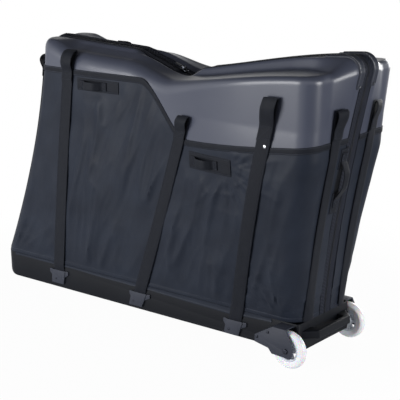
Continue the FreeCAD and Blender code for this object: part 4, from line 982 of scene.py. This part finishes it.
handleMaterials = [nylonWebbing, bondedThread, nylonWebbing]
heap = newHeap()
for x, z, loopEnds, patchEnds, patchHalf in sideHandles.values():
    def onWall(across, s, out, z=z):
        return sidePoint(s, z + across, -out)

    patchOn(heap, onWall, patchHalf, x + patchEnds[0], x + patchEnds[1], handle["lift"])
    loopOn(heap, onWall, x + loopEnds[0], x + loopEnds[1], handle["lift"])
onBothHalves("side_handles", heap, handleMaterials, "webbing", "front_handle", "middle_handle", "handle_patches")
heap = newHeap()


def onTailHandle(across, s, out):
    return tailPoint(tailHandle["y"] + across, s, -out)


for low, high in tailHandle["patches"]:
    patchOn(heap, onTailHandle, tailHandle["half"], low, high, tailHandle["lift"])
loopOn(heap, onTailHandle, *tailHandle["loop"], tailHandle["lift"])
piece = makePiece("tail_carry_handle", heap, handleMaterials)
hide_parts("tail_handle", "tail_handle_patches")
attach(piece, "near_half")
print("handles ready")

# Foam and pockets inside.
padding = {"skip": 4.5, "foam": 8.0, "pocketSkip": 13.5, "pocket": 18.0}


def liningHeap(first, last, low, high, outerInset, thick, quilt):
    heap = newHeap()
    columns, lines = spread(first, last, 72), spread(low, high, 48)

    def padded(x, z):
        u, v = (x - first) / (last - first), (z - low) / (high - low)
        edge = min(1.0, 14 * min(u, 1 - u), 10 * min(v, 1 - v)) ** 0.5
        puff = 0.8 + 0.2 * abs(math.sin(math.pi * u * quilt) * math.sin(math.pi * v * quilt * 0.6)) ** 0.5
        return sidePoint(x, z, outerInset + thick * (0.25 + 0.75 * edge * puff))

    flat = gridOf(columns, lines, lambda x, z: sidePoint(x, z, outerInset))
    addSheet(heap, flat, gridOf(columns, lines, padded))
    return heap


foamHeap = liningHeap(along(0.21), along(0.915), 140, 560, padding["skip"], padding["foam"], 7)
for piece in onBothHalves("foam_pad", foamHeap, [finish["closed_cell_foam"]], "foam", "foam_panel"):
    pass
pocketX = along(0.61)
pocketHeap = liningHeap(pocketX - 270, pocketX + 270, 150, 550, padding["pocketSkip"], padding["pocket"], 1)
for piece in onBothHalves("wheel_sleeve", pocketHeap, [finish["lining_cloth"]], "lining", "wheel_pocket"):
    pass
softened("base_foam", "base", 6.0, [finish["closed_cell_foam"]])
print("linings ready")

# Hard parts.
hardParts = (  # finish, slot and each node's edge radius in mm
    ("moulded_polypropylene", "tub", {"base_tray": 1.4, "rear_grab_bar": 1.5, "front_grip": 0.8,
                                      "front_skids": 3.0}),
    ("glass_filled_nylon", "hardware", {"near_wheel_bracket": 2.5, "far_wheel_bracket": 2.5,
                                        "strap_anchors": 1.2}),
    ("black_zinc_steel", "steel", {"anchor_rivets": 0.5, "near_axle_bolt": 0.8, "far_axle_bolt": 0.8,
                                   "axle_spacers": 0.5, "bracket_screws": 0.8}),
    ("anodised_aluminium", "rail", {"bike_rail": 0.8}),
    ("glass_filled_nylon", "stand", {"fork_stand": 2.5, "dropout_stand": 2.5}))
for finishName, slotName, nodes in hardParts:
    for node, width in nodes.items():
        softened(node, "base", width, [finish[finishName]])
for side in ("near", "far"):
    for node, width, finishName, slotName in (("_hub", 1.0, "moulded_polyamide", "hub"),
                                              ("_tyre", 0.8, "cast_polyurethane", "tyre"),
                                              ("_bearings", 0.4, "black_zinc_steel", "steel")):
        softened(side + node, side + "_wheel", width, [finish[finishName]])
for node, width in (("zip_slider", 0.6), ("zip_pull", 0.7)):
    softened(node, node, width, [finish["black_nickel_zinc"]])
print("hard parts ready")

# Floor, light and camera.
studio = {"floor": "#dcdee2", "floorRadius": 1.25, "floorMirror": 0.3, "ambient": 0.15, "dark": 0.06, "low": 1.2,
          "key": (-0.35, -0.94, 0.0), "camera": (2.30823, -2.6571, 1.3564), "azimuth": 39.79, "elevation": 16.022,
          "lens": 109.78}
paleFloor, tree, shader = newMaterial("pale_floor", {"Roughness": 0.9, "Base Color": linear(studio["floor"])})
rays = addNode(tree, "LightPath")
mirrored = addNode(tree, "Math", {0: rays.outputs["Is Glossy Ray"]}, {1: studio["floorMirror"]},
                   operation="MULTIPLY")
seen = addNode(tree, "Math", {0: rays.outputs["Is Camera Ray"], 1: mirrored}, operation="MAXIMUM")
seen = addNode(tree, "Math", {0: seen, 1: rays.outputs["Is Transmission Ray"]}, operation="MAXIMUM")
place = addNode(tree, "TexCoord")
away = addNode(tree, "VectorMath", {0: place.outputs["Object"]}, operation="LENGTH")
whiter = addNode(tree, "MapRange", {"Value": away.outputs["Value"]},
                 {"From Min": 0.75, "From Max": 1.2, "To Min": 0.97, "To Max": 1.0})
most = addNode(tree, "Math", {0: seen, 1: whiter}, operation="MULTIPLY")
glow = addNode(tree, "Emission", {}, {"Color": (1, 1, 1, 1), "Strength": 1.0})
mixed = addNode(tree, "MixShader", {"Fac": most, 1: shader,
                                    2: glow})
tree.links.new(mixed.outputs["Shader"], tree.nodes["Material Output"].inputs["Surface"])
floorMesh = bpy.data.meshes.new("floor")
rim = [2 * math.pi * step / 64 for step in range(64)]
radius = studio["floorRadius"]
floorMesh.from_pydata([(radius * math.cos(turn), radius * math.sin(turn), 0) for turn in rim], [],
                      [tuple(range(64))])
floorMesh.materials.append(paleFloor)
floor = bpy.data.objects.new("floor", floorMesh)
bpy.context.scene.collection.objects.link(floor)

world = bpy.data.worlds.new("studio")
bpy.context.scene.world = world
world.use_nodes = True
tree = world.node_tree
lightSky = tree.nodes["Background"]
lightSky.inputs["Color"].default_value = (0.93, 0.95, 1.0, 1.0)
lightSky.inputs["Strength"].default_value = studio["ambient"]
place = addNode(tree, "TexCoord")
split = addNode(tree, "SeparateXYZ", {"Vector": place.outputs["Generated"]})
towards = addNode(tree, "VectorMath", {0: place.outputs["Generated"]}, {1: studio["key"]},
                  operation="DOT_PRODUCT")
front = addNode(tree, "MapRange", {"Value": towards.outputs["Value"]},
                {"From Min": 0.6, "From Max": 0.92, "To Min": studio["dark"], "To Max": studio["low"]})
below = addNode(tree, "MapRange", {"Value": split.outputs["Z"], "To Min": front},
                {"From Min": -0.24, "From Max": -0.08, "To Max": 1.0})
raised = addNode(tree, "MapRange", {"Value": split.outputs["Y"]},
                 {"From Min": -0.4, "From Max": 0.2, "To Min": 0.35, "To Max": 0.0})
lowered = addNode(tree, "Math", {0: split.outputs["Z"], 1: raised}, operation="SUBTRACT")
above = addNode(tree, "MapRange", {"Value": lowered},
                {"From Min": 0.08, "From Max": 0.4, "To Min": 1.0, "To Max": studio["dark"]})
room = addNode(tree, "Math", {0: below, 1: above}, operation="MINIMUM")
rays = addNode(tree, "LightPath")
level = addNode(tree, "Math", {0: room, 1: rays.outputs["Is Camera Ray"]}, operation="MAXIMUM")
white = addNode(tree, "Background", {"Strength": level}, {"Color": (1, 1, 1, 1)})
seen = addNode(tree, "Math", {0: rays.outputs["Is Camera Ray"], 1: rays.outputs["Is Glossy Ray"]},
               operation="MAXIMUM")
seen = addNode(tree, "Math", {0: seen, 1: rays.outputs["Is Transmission Ray"]}, operation="MAXIMUM")
mixed = addNode(tree, "MixShader", {"Fac": seen, 1: lightSky,
                                    2: white})
tree.links.new(mixed.outputs["Shader"], tree.nodes["World Output"].inputs["Surface"])

lamps = {"left_softbox": ((-1.35, -3.3, 0.82), (-0.1, 0.0, 0.45), 2.3, 1.6, 118.0),
         "right_softbox": ((3.3, 0.1, 0.75), (0.4, 0.0, 0.5), 1.0, 1.3, 56.0),
         "back_softbox": ((0.2, 3.5, 1.0), (0.0, 0.0, 0.4), 2.4, 1.6, 90.0)}
for name, (spot, target, width, height, power) in lamps.items():
    lamp = bpy.data.lights.new(name, "AREA")
    lamp.shape, lamp.size, lamp.size_y, lamp.energy = "RECTANGLE", width, height, power
    light = bpy.data.objects.new(name, lamp)
    light.location = spot
    light.rotation_euler = (Vector(target) - Vector(spot)).to_track_quat("-Z", "Y").to_euler()
    bpy.context.scene.collection.objects.link(light)

camera = bpy.data.objects.new("camera", bpy.data.cameras.new("camera"))
camera.data.lens, camera.data.sensor_width = studio["lens"], 36.0
camera.location = studio["camera"]
a, e = math.radians(studio["azimuth"]), math.radians(studio["elevation"])
ahead = Vector((-math.sin(a) * math.cos(e), math.cos(a) * math.cos(e), -math.sin(e)))
camera.rotation_euler = ahead.to_track_quat("-Z", "Y").to_euler()
bpy.context.scene.collection.objects.link(camera)
bpy.context.scene.camera = camera
bpy.context.scene.view_settings.view_transform = "Standard"
print("studio ready")
